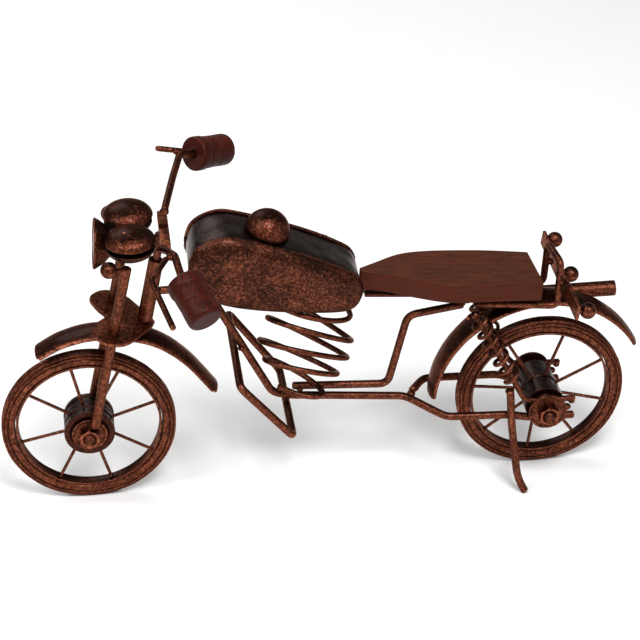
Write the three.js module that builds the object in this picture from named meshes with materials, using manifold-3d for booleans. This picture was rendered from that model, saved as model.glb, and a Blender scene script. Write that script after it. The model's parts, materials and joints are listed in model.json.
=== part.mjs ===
// Hand-made model motorcycle of bent and welded iron rod, sheet and domes, with a wooden seat and grips.
// Millimetres, +Z up. The machine faces -X, its left side is -Y, and it stands on its wheels and side stand.
import * as THREE from 'three';
import { mergeVertices } from 'three/addons/utils/BufferGeometryUtils.js';
import Module from 'manifold-3d';

const wasm = await Module();
wasm.setup();

// ---- driving dimensions ----
const WHEEL_RADIUS = 46;
const TYRE_WIDTH = 7.2;
const TYRE_INNER = 38.7;
const HOOP_OUTER = 38.3;
const HOOP_INNER = 37.1;
const HOOP_WIDTH = 6.4;
const SPOKE_DIAMETER = 1.7;
const FRONT_SPOKES = [17, 62, 102, 145, 194, 242, 285, 329];
const REAR_SPOKES = [26, 72, 121, 171, 219, 263, 305, 346];
const FRONT_AXLE_X = -123.3;
const REAR_AXLE_X = 120;
const AXLE_BOLT_RADIUS = 3;
const AXLE_BORE_RADIUS = 3.35;
const NUT_ACROSS_FLATS = 10;
const NUT_THICKNESS = 4.6;
const WASHER_THICKNESS = 1.2;

const FRONT_HUB_HALF = 9;
const FRONT_HUB_RADIUS = 13.4;
const FRONT_WASHER_RADIUS = 9.3;
const REAR_HUB_HALF = 15;
const REAR_HUB_RADIUS = 10.8;
const REAR_WASHER_RADIUS = 10.4;
const REAR_WASHER_Y = 20.4;

const ROD = 4.2;
const FORK_ROD = 5.2;
const BAR_ROD = 3.8;
const LEVER_ROD = 3;
const SHOCK_ROD = 3.2;
const SPRING_WIRE = 1.7;
const COIL_WIRE = 3;
const GAP = 0.3;
const LEAN = THREE.MathUtils.degToRad(2.5);

const RAKE = THREE.MathUtils.degToRad(12);
const HEAD_FOOT = new THREE.Vector3(-91, 0, 108);
const HEAD_TUBE_LENGTH = 36;
const HEAD_TUBE_RADIUS = 3.9;
const HEAD_TUBE_BORE = 2.6;
const STEM_RADIUS = 2.1;
const PLATE_THICKNESS = 1.6;
const YOKE_HEIGHT = 52;
const YOKE_LEFT = 20;
const YOKE_RIGHT = 15.5;

const TANK_HALF_WIDTH = 14.2;
const TANK_WALL = 1.6;
const TANK_BULGE = 4.5;
const TANK_LIP = 0.8;
const SEAT_THICKNESS = 11.5;
const SEAT_PITCH = THREE.MathUtils.degToRad(2.6);
const SEAT_NOSE = new THREE.Vector3(21, 0, 128.5);
const TAIL_BAR_HALF = 39.4;
const BALL_RADIUS = 4.3;

const ROD_SIDES = 8;
const WIRE_SIDES = 6;

// ---- finishes ----
const COPPERED = { color: 0x5a3224, roughness: 0.38, metalness: 0.75 };
const BLACKED = { color: 0x1d1614, roughness: 0.35, metalness: 0.6 };
const SPECKLED = { color: 0x6e3d2a, roughness: 0.42, metalness: 0.7 };
const SEAT_WOOD = { color: 0x6f3824, roughness: 0.55, metalness: 0 };
const GRIP_WOOD = { color: 0x5a2a20, roughness: 0.5, metalness: 0 };

const model = new THREE.Group();

function addMesh(name, geometry, finish, parent = model) {
  const mesh = new THREE.Mesh(geometry, new THREE.MeshStandardMaterial(finish));
  mesh.name = name;
  parent.add(mesh);
  return mesh;
}

const vec = (x, y, z) => new THREE.Vector3(x, y, z);

// ---- solids: welding vertices, joining and cutting ----
function weld(geometry) {
  const bare = geometry.clone();
  bare.deleteAttribute('normal');
  bare.deleteAttribute('uv');
  return mergeVertices(bare, 1e-4);
}

function toSolid(geometry) {
  const welded = weld(geometry);
  const mesh = new wasm.Mesh({
    numProp: 3,
    vertProperties: new Float32Array(welded.attributes.position.array),
    triVerts: new Uint32Array(welded.index.array),
  });
  mesh.merge();
  return new wasm.Manifold(mesh);
}

function fromSolid(solid) {
  const mesh = solid.getMesh();
  const geometry = new THREE.BufferGeometry();
  geometry.setAttribute('position', new THREE.BufferAttribute(new Float32Array(mesh.vertProperties), 3));
  geometry.setIndex(new THREE.BufferAttribute(new Uint32Array(mesh.triVerts), 1));
  geometry.computeVertexNormals();
  return geometry;
}

function joined(geometries) {
  const solids = geometries.map(toSolid);
  return fromSolid(solids.reduce((whole, next) => whole.add(next)));
}

function cutBy(geometry, cutters) {
  return fromSolid(cutters.map(toSolid).reduce((left, cutter) => left.subtract(cutter), toSolid(geometry)));
}

// ---- curves and rods ----
function bentPath(points, bend) {
  const path = new THREE.CurvePath();
  let from = points[0];
  for (let i = 1; i < points.length - 1; i += 1) {
    const corner = points[i];
    const before = corner.clone().lerp(points[i - 1], bend / corner.distanceTo(points[i - 1]));
    const after = corner.clone().lerp(points[i + 1], bend / corner.distanceTo(points[i + 1]));
    path.add(new THREE.LineCurve3(from, before));
    path.add(new THREE.QuadraticBezierCurve3(before, corner, after));
    from = after;
  }
  path.add(new THREE.LineCurve3(from, points[points.length - 1]));
  return path;
}

function roundShape(radius, sides) {
  const shape = new THREE.Shape();
  for (let i = 0; i < sides; i += 1) {
    const angle = ((i + 0.5) / sides) * Math.PI * 2;
    const [x, y] = [radius * Math.cos(angle), radius * Math.sin(angle)];
    if (i === 0) shape.moveTo(x, y);
    else shape.lineTo(x, y);
  }
  return shape;
}

function sweep(shape, path, steps) {
  return new THREE.ExtrudeGeometry(shape, { steps, extrudePath: path, bevelEnabled: false });
}

function rod(path, diameter, step = 4, sides = ROD_SIDES) {
  return sweep(roundShape(diameter / 2, sides), path, Math.max(1, Math.round(path.getLength() / step)));
}

function straightRod(from, to, diameter, sides = ROD_SIDES) {
  return sweep(roundShape(diameter / 2, sides), new THREE.LineCurve3(from, to), 1);
}

function stripShape(width, thickness, crown, parts = 6) {
  const shape = new THREE.Shape();
  const arch = (t) => -crown * (1 - t * t);
  for (let i = 0; i <= parts; i += 1) {
    const t = (2 * i) / parts - 1;
    if (i === 0) shape.moveTo((t * width) / 2, arch(t));
    else shape.lineTo((t * width) / 2, arch(t));
  }
  for (let i = parts; i >= 0; i -= 1) {
    const t = (2 * i) / parts - 1;
    shape.lineTo((t * width) / 2, arch(t) + thickness);
  }
  return shape;
}

class FormulaCurve extends THREE.Curve {
  constructor(formula) {
    super();
    this.formula = formula;
  }

  getPoint(t, target = new THREE.Vector3()) {
    return target.copy(this.formula(t));
  }
}

// ---- turned pieces ----
function turned(profile, segments = 32) {
  return new THREE.LatheGeometry(profile.map(([radius, along]) => new THREE.Vector2(radius, along)), segments);
}

function ringProfile(inner, outer, from, to) {
  return [[inner, from], [outer, from], [outer, to], [inner, to], [inner, from]];
}

function ball(centre, radius) {
  const geometry = new THREE.SphereGeometry(radius, 16, 10);
  geometry.rotateX(Math.PI / 2);
  return geometry.translate(centre.x, centre.y, centre.z);
}

function hexPrism(acrossFlats, from, to) {
  const shape = roundShape(acrossFlats / Math.sqrt(3), 6);
  const geometry = new THREE.ExtrudeGeometry(shape, { depth: to - from, bevelEnabled: false });
  return geometry.rotateX(-Math.PI / 2).translate(0, from, 0);
}

// ---- wheels: a heavy tyre ring, a thin hoop with its spokes, and a turned hub ----
function tyreProfile() {
  const half = TYRE_WIDTH / 2;
  return [
    [TYRE_INNER, -half + 0.6],
    [TYRE_INNER + 0.6, -half],
    [WHEEL_RADIUS - 2.2, -half],
    [WHEEL_RADIUS - 0.7, -half + 0.9],
    [WHEEL_RADIUS, -half + 2.3],
    [WHEEL_RADIUS - 0.5, 0],
    [WHEEL_RADIUS, half - 2.3],
    [WHEEL_RADIUS - 0.7, half - 0.9],
    [WHEEL_RADIUS - 2.2, half],
    [TYRE_INNER + 0.6, half],
    [TYRE_INNER, half - 0.6],
    [TYRE_INNER, -half + 0.6],
  ];
}

function spokedHoop(hubRadius, spokeAngles) {
  const hoop = turned(ringProfile(HOOP_INNER, HOOP_OUTER, -HOOP_WIDTH / 2, HOOP_WIDTH / 2), 40);
  const spokes = spokeAngles.map(THREE.MathUtils.degToRad).map((angle) => {
    const out = vec(Math.cos(angle), 0, Math.sin(angle));
    const from = out.clone().multiplyScalar(hubRadius + GAP);
    return straightRod(from, out.clone().multiplyScalar(HOOP_INNER + 0.6), SPOKE_DIAMETER, WIRE_SIDES);
  });
  return joined([hoop, ...spokes]);
}

function frontHubProfile() {
  const [half, wide, narrow] = [FRONT_HUB_HALF, FRONT_HUB_RADIUS, FRONT_HUB_RADIUS - 0.8];
  return [
    [AXLE_BORE_RADIUS, -half],
    [wide, -half],
    [wide, -half + 2.4],
    [narrow, -half + 2.9],
    [narrow, -3],
    [wide - 0.2, -2.5],
    [wide - 0.2, 2.5],
    [narrow, 3],
    [narrow, half - 2.9],
    [wide, half - 2.4],
    [wide, half],
    [AXLE_BORE_RADIUS, half],
    [AXLE_BORE_RADIUS, -half],
  ];
}

function rearHubProfile() {
  const [half, wide, narrow] = [REAR_HUB_HALF, REAR_HUB_RADIUS, REAR_HUB_RADIUS - 0.8];
  return [
    [AXLE_BORE_RADIUS, -half],
    [wide, -half],
    [wide, -8],
    [narrow, -7.6],
    [narrow, half],
    [AXLE_BORE_RADIUS, half],
    [AXLE_BORE_RADIUS, -half],
  ];
}

function addWheel(prefix, axleX, hubProfile, hubRadius, spokeAngles) {
  const wheel = new THREE.Group();
  wheel.position.set(axleX, 0, WHEEL_RADIUS);
  model.add(wheel);
  addMesh(`${prefix}_tyre`, turned(tyreProfile(), 40), COPPERED, wheel);
  addMesh(`${prefix}_spoked_rim`, spokedHoop(hubRadius, spokeAngles), COPPERED, wheel);
  addMesh(`${prefix}_hub`, turned(hubProfile, 28), BLACKED, wheel);
}

// The bolt runs across the wheel: a hexagon head on the right, a loose nut on the left.
function addAxle(prefix, axleX, washerY, washerRadius, boltEnd) {
  const axle = new THREE.Group();
  axle.position.set(axleX, 0, WHEEL_RADIUS);
  model.add(axle);
  const seat = washerY + WASHER_THICKNESS + GAP;
  const shank = turned([[0, -boltEnd], [AXLE_BOLT_RADIUS, -boltEnd], [AXLE_BOLT_RADIUS, seat + 1], [0, seat + 1]], 20);
  const head = hexPrism(NUT_ACROSS_FLATS, seat, seat + NUT_THICKNESS);
  addMesh(`${prefix}_axle_bolt`, joined([shank, head]), COPPERED, axle);
  const bore = turned(ringProfile(0, AXLE_BOLT_RADIUS + GAP, -seat - 2 * NUT_THICKNESS, -seat + 1), 20);
  const nut = cutBy(hexPrism(NUT_ACROSS_FLATS, -seat - NUT_THICKNESS, -seat), [bore]);
  addMesh(`${prefix}_axle_nut`, nut, COPPERED, axle);
  for (const [side, sign] of [['left', -1], ['right', 1]]) {
    const [near, far] = [sign * washerY, sign * (washerY + WASHER_THICKNESS)];
    const profile = ringProfile(AXLE_BOLT_RADIUS + GAP, washerRadius, Math.min(near, far), Math.max(near, far));
    addMesh(`${prefix}_washer_${side}`, turned(profile, 28), COPPERED, axle);
  }
}

// ---- steering: everything that turns about the raked head ----
const HEAD_AXIS = vec(Math.sin(RAKE), 0, Math.cos(RAKE));
const HEAD_FORWARD = vec(-Math.cos(RAKE), 0, Math.sin(RAKE));
const onHead = (height, forward = 0, side = 0) =>
  HEAD_FOOT.clone()
    .addScaledVector(HEAD_AXIS, height)
    .addScaledVector(HEAD_FORWARD, forward)
    .add(vec(0, side, 0));

function onPlate(geometry, height) {
  const basis = new THREE.Matrix4().makeBasis(HEAD_FORWARD, vec(0, -1, 0), HEAD_AXIS);
  basis.setPosition(onHead(height));
  return geometry.applyMatrix4(basis);
}

function forkLegPoints(side) {
  return [vec(-120.1, side * 13.6, 53.4), vec(side < 0 ? -98.7 : -97.2, side * 17.8, 150.9)];
}

function addHead() {
  const tube = ringProfile(HEAD_TUBE_BORE, HEAD_TUBE_RADIUS, 0, HEAD_TUBE_LENGTH);
  addMesh('head_tube', standingOnHead(turned(tube, 20), 0.8), COPPERED);
  const stem = turned([[0, 0], [STEM_RADIUS, 0], [STEM_RADIUS, YOKE_HEIGHT], [0, YOKE_HEIGHT]], 16);
  addMesh('steering_stem', standingOnHead(stem, GAP), COPPERED);
}

function standingOnHead(geometry, height) {
  geometry.rotateX(Math.PI / 2);
  geometry.rotateY(RAKE);
  const foot = onHead(height);
  return geometry.translate(foot.x, foot.y, foot.z);
}

// A winged plate: a notch at the front between two rounded wings, narrowing to the head at the back.
function addClampPlate() {
  const half = [[19.5, 0], [23.5, 5], [27.4, 13], [27.6, 18], [24.2, 23.2], [19.5, 26.2], [13, 25.6], [7.5, 21.2],
    [3, 14.5], [-3.6, 5], [-5.4, 0]];
  const shape = new THREE.Shape();
  shape.moveTo(half[0][0], half[0][1]);
  shape.lineTo(half[1][0], half[1][1]);
  shape.splineThru(half.slice(2, 10).map(([x, y]) => new THREE.Vector2(x, y)));
  shape.lineTo(half[10][0], half[10][1]);
  shape.lineTo(half[9][0], -half[9][1]);
  shape.splineThru(half.slice(1, 9).reverse().map(([x, y]) => new THREE.Vector2(x, -y)));
  shape.closePath();
  const plate = new THREE.ExtrudeGeometry(shape, { depth: PLATE_THICKNESS, bevelEnabled: false, curveSegments: 2 });
  const holes = [-1, 1].map((side) => {
    const [low, high] = forkLegPoints(side);
    return straightRod(low, high, FORK_ROD + 2 * GAP, 12);
  });
  addMesh('clamp_plate', cutBy(onPlate(plate, -PLATE_THICKNESS), holes), COPPERED);
}

function addFork() {
  for (const [side, sign] of [['left', -1], ['right', 1]]) {
    const [low, high] = forkLegPoints(sign);
    addMesh(`fork_leg_${side}`, straightRod(low, high, FORK_ROD, 12), COPPERED);
  }
}

function addFrontFender() {
  const crest = new THREE.CatmullRomCurve3([vec(-148.2, 0, 93.6), vec(-135, 0, 100.4), vec(-119, 0, 104.4),
    vec(-101, 0, 103.4), vec(-84, 0, 97.2), vec(-69, 0, 84.4), vec(-54.5, 0, 64.6)]);
  addMesh('front_fender', sweep(stripShape(13.2, 1.3, 1.6, 4), crest, 22), COPPERED);
  const post = straightRod(onHead(-4.5, 15.5), onHead(-PLATE_THICKNESS - GAP, 15.5), ROD);
  addMesh('fender_post', post, BLACKED);
}

const GAUGE_CENTRE = { x: -96.2, y: 13.4, domeRim: 162.8, dishRim: 159.8 };

function domeProfile(radius, height, wall, steps = 6) {
  const outer = [];
  const inner = [];
  for (let i = 0; i <= steps; i += 1) {
    const angle = (i / steps) * Math.PI * 0.5;
    outer.push([radius * Math.cos(angle), height * Math.sin(angle)]);
    inner.unshift([(radius - wall) * Math.cos(angle), (height - wall) * Math.sin(angle)]);
  }
  return [...outer, ...inner, outer[0]];
}

// Each gauge is a shallow dome over a shallow dish, held a little apart on a short pin.
function addGauges() {
  for (const [side, sign] of [['left', -1], ['right', 1]]) {
    const dome = turned(domeProfile(12.8, 7.2, 1, 5), 24).rotateX(Math.PI / 2);
    addMesh(`gauge_dome_${side}`, dome, COPPERED).position.set(GAUGE_CENTRE.x, sign * GAUGE_CENTRE.y, GAUGE_CENTRE.domeRim);
    const bowl = turned(domeProfile(12.3, 6.2, 1, 5), 24).rotateX(-Math.PI / 2);
    const pin = new THREE.CylinderGeometry(1.6, 1.6, 14.8, 10).rotateX(Math.PI / 2).translate(0, 0, 0.6);
    addMesh(`gauge_dish_${side}`, joined([bowl, pin]), BLACKED)
      .position.set(GAUGE_CENTRE.x, sign * GAUGE_CENTRE.y, GAUGE_CENTRE.dishRim);
  }
}

// The headlamp is a round-backed bowl with a flat face, looking forward and a little up.
function addHeadlamp() {
  const lamp = new THREE.Group();
  lamp.position.set(-113.9, 0, 155.4);
  lamp.rotation.y = THREE.MathUtils.degToRad(-90 + 5);
  model.add(lamp);
  const back = [[0, -9.8], [3.2, -9.4], [6.6, -8], [9.8, -5.2], [12, -2], [13, -0.4], [13, 0.6], [12, 0.6]];
  const hollow = [[12, -0.6], [11, -1.8], [8.9, -4.6], [6, -7], [2.8, -8.3], [0, -8.7]];
  addMesh('headlamp_bowl', turned([...back, ...hollow], 26).rotateX(Math.PI / 2), COPPERED, lamp);
  const face = [[0, -1.2], [10.4, -1.2], [11.6, -0.4], [9, 0.4], [0, 0.9]];
  addMesh('headlamp_face', turned(face, 26).rotateX(Math.PI / 2), BLACKED, lamp);
}

function addSignalBalls() {
  const centres = { left: vec(-107.6, -27, 155.2), right: vec(-105.4, 28.6, 156) };
  for (const [side, centre] of Object.entries(centres)) {
    const [low, high] = forkLegPoints(Math.sign(centre.y));
    const onLeg = low.clone().lerp(high, 0.98);
    const stalk = straightRod(centre, centre.clone().lerp(onLeg, 0.72), 2.4, 8);
    addMesh(`signal_ball_${side}`, joined([ball(centre, BALL_RADIUS), stalk]), COPPERED);
  }
}

// Handlebar: a flat yoke across the stem, a bent arm to each side, a wire lever and a turned grip.
const YOKE = { x: -78.9, z: 160.8 };
const BARS = {
  left: {
    arm: [vec(-81, -21.2, 161.8), vec(-79, -31, 166.4), vec(-76, -46, 172.2)],
    grip: { inner: vec(-72.8, -60, 166.2), along: vec(0.364, -0.818, -0.446) },
    lever: [vec(-79.8, -45, 170.6), vec(-88.3, -60, 167.6), vec(-79.8, -87, 156.8)],
  },
  right: {
    arm: [vec(-77.6, 17, 161.6), vec(-71.6, 40, 168), vec(-66.2, 56.5, 174.2)],
    grip: { inner: vec(-59.2, 62.2, 169.8), along: vec(0.755, 0.61, -0.24) },
    lever: [vec(-69.8, 57.2, 175.4), vec(-78.4, 60, 175.6), vec(-62, 75, 165)],
  },
};
const GRIP_PROFILE = [[2.2, 0], [9, 0], [9.2, 1], [9.2, 5.8], [8.6, 6.4], [8.4, 12], [8.5, 19], [8.4, 22.8],
  [7.4, 24.2], [0, 24.2], [0, 8], [2.2, 8], [2.2, 0]];

function addHandlebar() {
  const yoke = new THREE.BoxGeometry(5, YOKE_LEFT + YOKE_RIGHT, 4.4)
    .translate(YOKE.x, (YOKE_RIGHT - YOKE_LEFT) / 2, YOKE.z);
  const stemHole = standingOnHead(turned([[0, 0], [STEM_RADIUS + GAP, 0], [STEM_RADIUS + GAP, 60], [0, 60]], 16), 0);
  addMesh('handlebar_yoke', cutBy(yoke, [stemHole]), COPPERED);
  for (const [side, bar] of Object.entries(BARS)) {
    const inGrip = (depth) => bar.grip.inner.clone().addScaledVector(bar.grip.along, depth);
    const arm = [...bar.arm, inGrip(-3), inGrip(6)];
    addMesh(`handlebar_arm_${side}`, rod(bentPath(arm, 2.2), BAR_ROD, 3), COPPERED);
    addMesh(`lever_${side}`, rod(bentPath(bar.lever, 2.2), LEVER_ROD, 4, 8), COPPERED);
    const grip = turned(GRIP_PROFILE, 24);
    const turn = new THREE.Quaternion().setFromUnitVectors(vec(0, 1, 0), bar.grip.along.clone().normalize());
    const mesh = addMesh(`grip_${side}`, grip, GRIP_WOOD);
    mesh.quaternion.copy(turn);
    mesh.position.copy(bar.grip.inner);
  }
}

// ---- frame ----
const CHAIN_STAY = [vec(66, -15.6, 43.8), vec(99, -17.5, 43.6), vec(113, -17.7, 40.6), vec(135.4, -17.7, 40.6)];

function addFrameRods() {
  const main = [vec(-82.8, 0, 125.4), vec(-59.2, 0, 125.2), vec(-25.6, 0, 57.4), vec(-17, 0, 54.8), vec(46, 0, 48.6),
    ...CHAIN_STAY];
  addMesh('main_frame_rod', rod(bentPath(main, 4), ROD, 4.6), COPPERED);
  const branch = [vec(50.5, 4.6, 48.2), vec(59, 15.4, 48.6), vec(101, 17.5, 46), vec(113, 17.7, 40.8),
    vec(135.4, 17.7, 40.6)];
  addMesh('chain_stay_right', rod(bentPath(branch, 4), ROD, 4), COPPERED);
  const seatRod = [vec(1.6, 0, 57.8), vec(36.4, 0, 57.4), vec(46.4, 0, 99.8), vec(76, 0, 104.2)];
  addMesh('seat_rod', rod(bentPath(seatRod, 5), ROD, 4), COPPERED);
}

// The foot guard is one rod bent to a rectangle; its ends meet under the lower frame rod.
function addFootGuard() {
  const [frontX, frontZ, frontHalf] = [-45.4, 86.4, 36.4];
  const [rearX, rearZ, rearHalf] = [-18.2, 50.2, 31.5];
  const loop = [vec(rearX, GAP / 2, rearZ), vec(rearX, rearHalf, rearZ), vec(frontX, frontHalf, frontZ),
    vec(frontX, -frontHalf, frontZ), vec(rearX, -rearHalf, rearZ), vec(rearX, -GAP / 2, rearZ)];
  addMesh('foot_guard', rod(bentPath(loop, 4), ROD, 4.5), COPPERED);
}

// Seat rails run under the board on each side and rise behind it as a hoop.
function addSeatRails() {
  const hoop = [vec(80, -11.6, 110.6), vec(92, -11.4, 110), vec(123.2, -11.4, 106.6), vec(123.6, -11.8, 132.6),
    vec(121.4, 8.5, 133), vec(121.2, 11.6, 107.2), vec(92, 11.4, 110), vec(80, 11.6, 110.6)];
  addMesh('seat_rail_hoop', rod(bentPath(hoop, 4), BAR_ROD, 4), COPPERED);
  const strip = new THREE.BoxGeometry(46, 5, 1.6);
  const mesh = addMesh('seat_strip', strip, BLACKED);
  mesh.position.set(46, 0, 113.2);
  mesh.rotation.y = THREE.MathUtils.degToRad(4.5);
}

// ---- tank: a wrapped band, a pressed plate on each side, and a filler cap ----
const TANK_OUTLINE = [[-67.4, 147], [-63, 156.4], [-52, 161.2], [-40, 159.4], [-11.5, 149.3], [9.5, 139.2],
  [18.2, 132.4], [18.8, 122.4], [10.6, 115.4], [-18, 117.1], [-45, 122], [-59.4, 128.6], [-66.4, 138]];

function tankShape(inset) {
  const curve = new THREE.CatmullRomCurve3(TANK_OUTLINE.map(([x, z]) => vec(x, z, 0)), true, 'centripetal');
  const points = curve.getSpacedPoints(44).slice(0, -1);
  const count = points.length;
  const moved = points.map((p, i) => {
    const along = points[(i + 1) % count].clone().sub(points[(i + count - 1) % count]).normalize();
    return new THREE.Vector2(p.x - along.y * inset, p.y + along.x * inset);
  });
  return new THREE.Shape(moved.reverse());
}

function upright(geometry, y) {
  return geometry.rotateX(Math.PI / 2).translate(0, y, 0);
}

const INWARD = -1;

function addTank() {
  const band = tankShape(0);
  band.holes.push(tankShape(INWARD * TANK_WALL));
  const depth = 2 * TANK_HALF_WIDTH;
  const wrap = new THREE.ExtrudeGeometry(band, { depth, bevelEnabled: false });
  addMesh('tank_band', upright(wrap, TANK_HALF_WIDTH), BLACKED);
  for (const [side, sign] of [['left', -1], ['right', 1]]) {
    const pillow = new THREE.ExtrudeGeometry(tankShape(-TANK_LIP), {
      depth: 1, bevelThickness: TANK_BULGE - 0.5, bevelSize: 7, bevelOffset: -7, bevelSegments: 3,
    });
    const plate = upright(pillow, sign * (TANK_HALF_WIDTH + GAP) + 0.5);
    const inside = new THREE.BoxGeometry(120, 20, 80);
    inside.translate(-24, sign * (TANK_HALF_WIDTH + GAP - 10), 138);
    addMesh(`tank_side_${side}`, cutBy(plate, [inside]), SPECKLED);
  }
  const cap = turned([[0, 0], [11.6, 0], ...domeProfile(11.7, 12, 1, 7).slice(1, 8)], 26).rotateX(Math.PI / 2);
  const mesh = addMesh('tank_cap', cap, COPPERED);
  mesh.position.set(-27.1, 0, 155.9);
  mesh.rotation.y = THREE.MathUtils.degToRad(20);
}

// ---- engine: one oval coil of wire under the tank, in two lengths that meet at the back ----
// Its furthest points to the right and left in turn, from the top down, with how far it bulges sideways there.
const COIL_ENDS = [
  { x: -22, z: 122, depth: 16 },
  { x: 15.8, z: 100, depth: 16 },
  { x: -24, z: 115, depth: 17.5 },
  { x: 16.5, z: 86.8, depth: 17.5 },
  { x: -27.4, z: 104.4, depth: 17.5 },
  { x: 14.4, z: 76.3, depth: 17.5 },
  { x: -31.8, z: 91, depth: 17 },
  { x: 9.1, z: 66.5, depth: 15 },
  { x: -29.4, z: 78.8, depth: 12 },
  { x: -0.6, z: 60.4, depth: 5.6 },
  { x: -24.2, z: 64.8, depth: 5.6 },
];

// The wire swings round the far side on its way to the rear and round the near side on its way back.
function coilPoint(halfTurn) {
  const index = Math.min(Math.floor(halfTurn), COIL_ENDS.length - 2);
  const [from, to] = [COIL_ENDS[index], COIL_ENDS[index + 1]];
  const along = halfTurn - index;
  const swing = (1 - Math.cos(Math.PI * along)) / 2;
  const side = index % 2 === 0 ? 1 : -1;
  return vec(
    THREE.MathUtils.lerp(from.x, to.x, swing),
    side * THREE.MathUtils.lerp(from.depth, to.depth, along) * Math.sin(Math.PI * along),
    THREE.MathUtils.lerp(from.z, to.z, swing),
  );
}

function coilWire(from, to) {
  const path = new FormulaCurve((t) => coilPoint(from + (to - from) * t));
  return sweep(roundShape(COIL_WIRE / 2, 8), path, Math.round((to - from) * 10));
}

function addEngineCoil() {
  addMesh('engine_coil_upper', coilWire(0.72, 4.99), COPPERED);
  addMesh('engine_coil_lower', coilWire(5.01, 9.84), COPPERED);
}

// ---- seat board ----
function addSeat() {
  const shape = new THREE.Shape();
  shape.moveTo(0, 4.2);
  shape.lineTo(20, 16.4);
  shape.splineThru([[29, 19], [40, 20], [54, 19.8], [70, 18.8], [91.6, 16]].map(([x, y]) => new THREE.Vector2(x, y)));
  shape.lineTo(93.6, -16);
  shape.splineThru([[72, -15.8], [50, -16], [40, -14.2], [31, -10.8], [22, -6.8], [14, -3]].map(
    ([x, y]) => new THREE.Vector2(x, y)));
  shape.lineTo(0, 0.4);
  shape.closePath();
  const board = new THREE.ExtrudeGeometry(shape, {
    depth: SEAT_THICKNESS - 1, bevelThickness: 0.5, bevelSize: 0.5, bevelOffset: -0.5, bevelSegments: 1, curveSegments: 3,
  });
  board.translate(0, 0, 0.5 - SEAT_THICKNESS);
  const mesh = addMesh('seat_board', board, SEAT_WOOD);
  mesh.position.copy(SEAT_NOSE);
  mesh.rotation.y = SEAT_PITCH;
}

// ---- rear end ----
function fenderPoint(t) {
  const angle = THREE.MathUtils.degToRad(176.4 - 145.6 * t);
  const radius = 61.6 - 2.6 * Math.max(0, (t - 0.6) / 0.4) ** 1.2;
  return vec(REAR_AXLE_X + radius * Math.cos(angle), 0, WHEEL_RADIUS + radius * Math.sin(angle));
}

function addRearFender() {
  addMesh('rear_fender', sweep(stripShape(18, 1.4, 1.6, 4), new FormulaCurve(fenderPoint), 32), COPPERED);
}

function shockPoints(sign) {
  return [vec(78.2, sign * 18.2, 109.4), vec(107.4, sign * 17.9, 53.4), vec(112.4, sign * 17.7, 51.4),
    vec(135.4, sign * 17.7, 51.4)];
}

function addShocks() {
  for (const [side, sign] of [['left', -1], ['right', 1]]) {
    const points = shockPoints(sign);
    addMesh(`shock_rod_${side}`, rod(bentPath(points, 2.4), SHOCK_ROD, 4), COPPERED);
    const along = points[1].clone().sub(points[0]).normalize();
    const across = vec(0, 1, 0).cross(along).normalize();
    const beside = along.clone().cross(across);
    const [turns, start, length, radius] = [7, 1, 46.5, 4.1];
    const helix = new FormulaCurve((t) => points[0].clone()
      .addScaledVector(along, start + length * t)
      .addScaledVector(across, radius * Math.cos(t * turns * Math.PI * 2))
      .addScaledVector(beside, radius * Math.sin(t * turns * Math.PI * 2)));
    addMesh(`shock_spring_${side}`, sweep(roundShape(SPRING_WIRE / 2, WIRE_SIDES), helix, turns * 10), COPPERED);
  }
}

function addSideStand() {
  const leg = [vec(98.6, -22, 62), vec(100.2, -22.2, 42), vec(102.6, -28, 22), vec(108.2, -31.8, -0.4)];
  const ground = new THREE.BoxGeometry(40, 80, 10).translate(107, -31, -5).rotateX(-LEAN);
  addMesh('side_stand', cutBy(rod(bentPath(leg, 6), ROD, 4), [ground]), COPPERED);
}

function addTail() {
  const bar = new THREE.BoxGeometry(1.8, 2 * TAIL_BAR_HALF, 8);
  const mesh = addMesh('tail_bar', bar, COPPERED);
  mesh.position.set(126.9, 0, 118.6);
  mesh.rotation.y = THREE.MathUtils.degToRad(8);
  for (const [side, y] of [['left', -36.4], ['middle', 0], ['right', 36.4]]) {
    addMesh(`tail_ball_${side}`, ball(vec(132.6, y, 118.2), BALL_RADIUS), COPPERED);
  }
  const pipe = turned(ringProfile(3.2, 4.2, 0, 60.4), 18).rotateZ(-Math.PI / 2);
  const exhaust = addMesh('exhaust_pipe', pipe, COPPERED);
  exhaust.position.set(101.5, 15.6, 98);
}

addWheel('front', FRONT_AXLE_X, frontHubProfile(), FRONT_HUB_RADIUS, FRONT_SPOKES);
addWheel('rear', REAR_AXLE_X, rearHubProfile(), REAR_HUB_RADIUS, REAR_SPOKES);
addAxle('front', FRONT_AXLE_X, FRONT_HUB_HALF + GAP, FRONT_WASHER_RADIUS, 16.2);
addAxle('rear', REAR_AXLE_X, REAR_WASHER_Y, REAR_WASHER_RADIUS, 30);
addHead();
addClampPlate();
addFork();
addFrontFender();
addGauges();
addHeadlamp();
addSignalBalls();
addHandlebar();
addFrameRods();
addFootGuard();
addSeatRails();
addTank();
addEngineCoil();
addSeat();
addRearFender();
addShocks();
addSideStand();
addTail();

// The machine leans a little onto its stand. The origin is under the middle of it, on the ground.
model.rotation.x = LEAN;
const motorcycle = new THREE.Group();
motorcycle.add(model);
const bounds = new THREE.Box3().setFromObject(motorcycle, true);
const middle = bounds.getCenter(new THREE.Vector3());
model.position.set(-middle.x, -middle.y, -bounds.min.z);

export default motorcycle;
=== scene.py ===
"""A hand-made model motorcycle of bent, welded iron rod with a wooden seat and turned wooden grips."""

import json
import math

import bpy
import bmesh
from bpy.props import FloatProperty, FloatVectorProperty, IntProperty, PointerProperty
from mathutils import Matrix, Vector, noise


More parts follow.
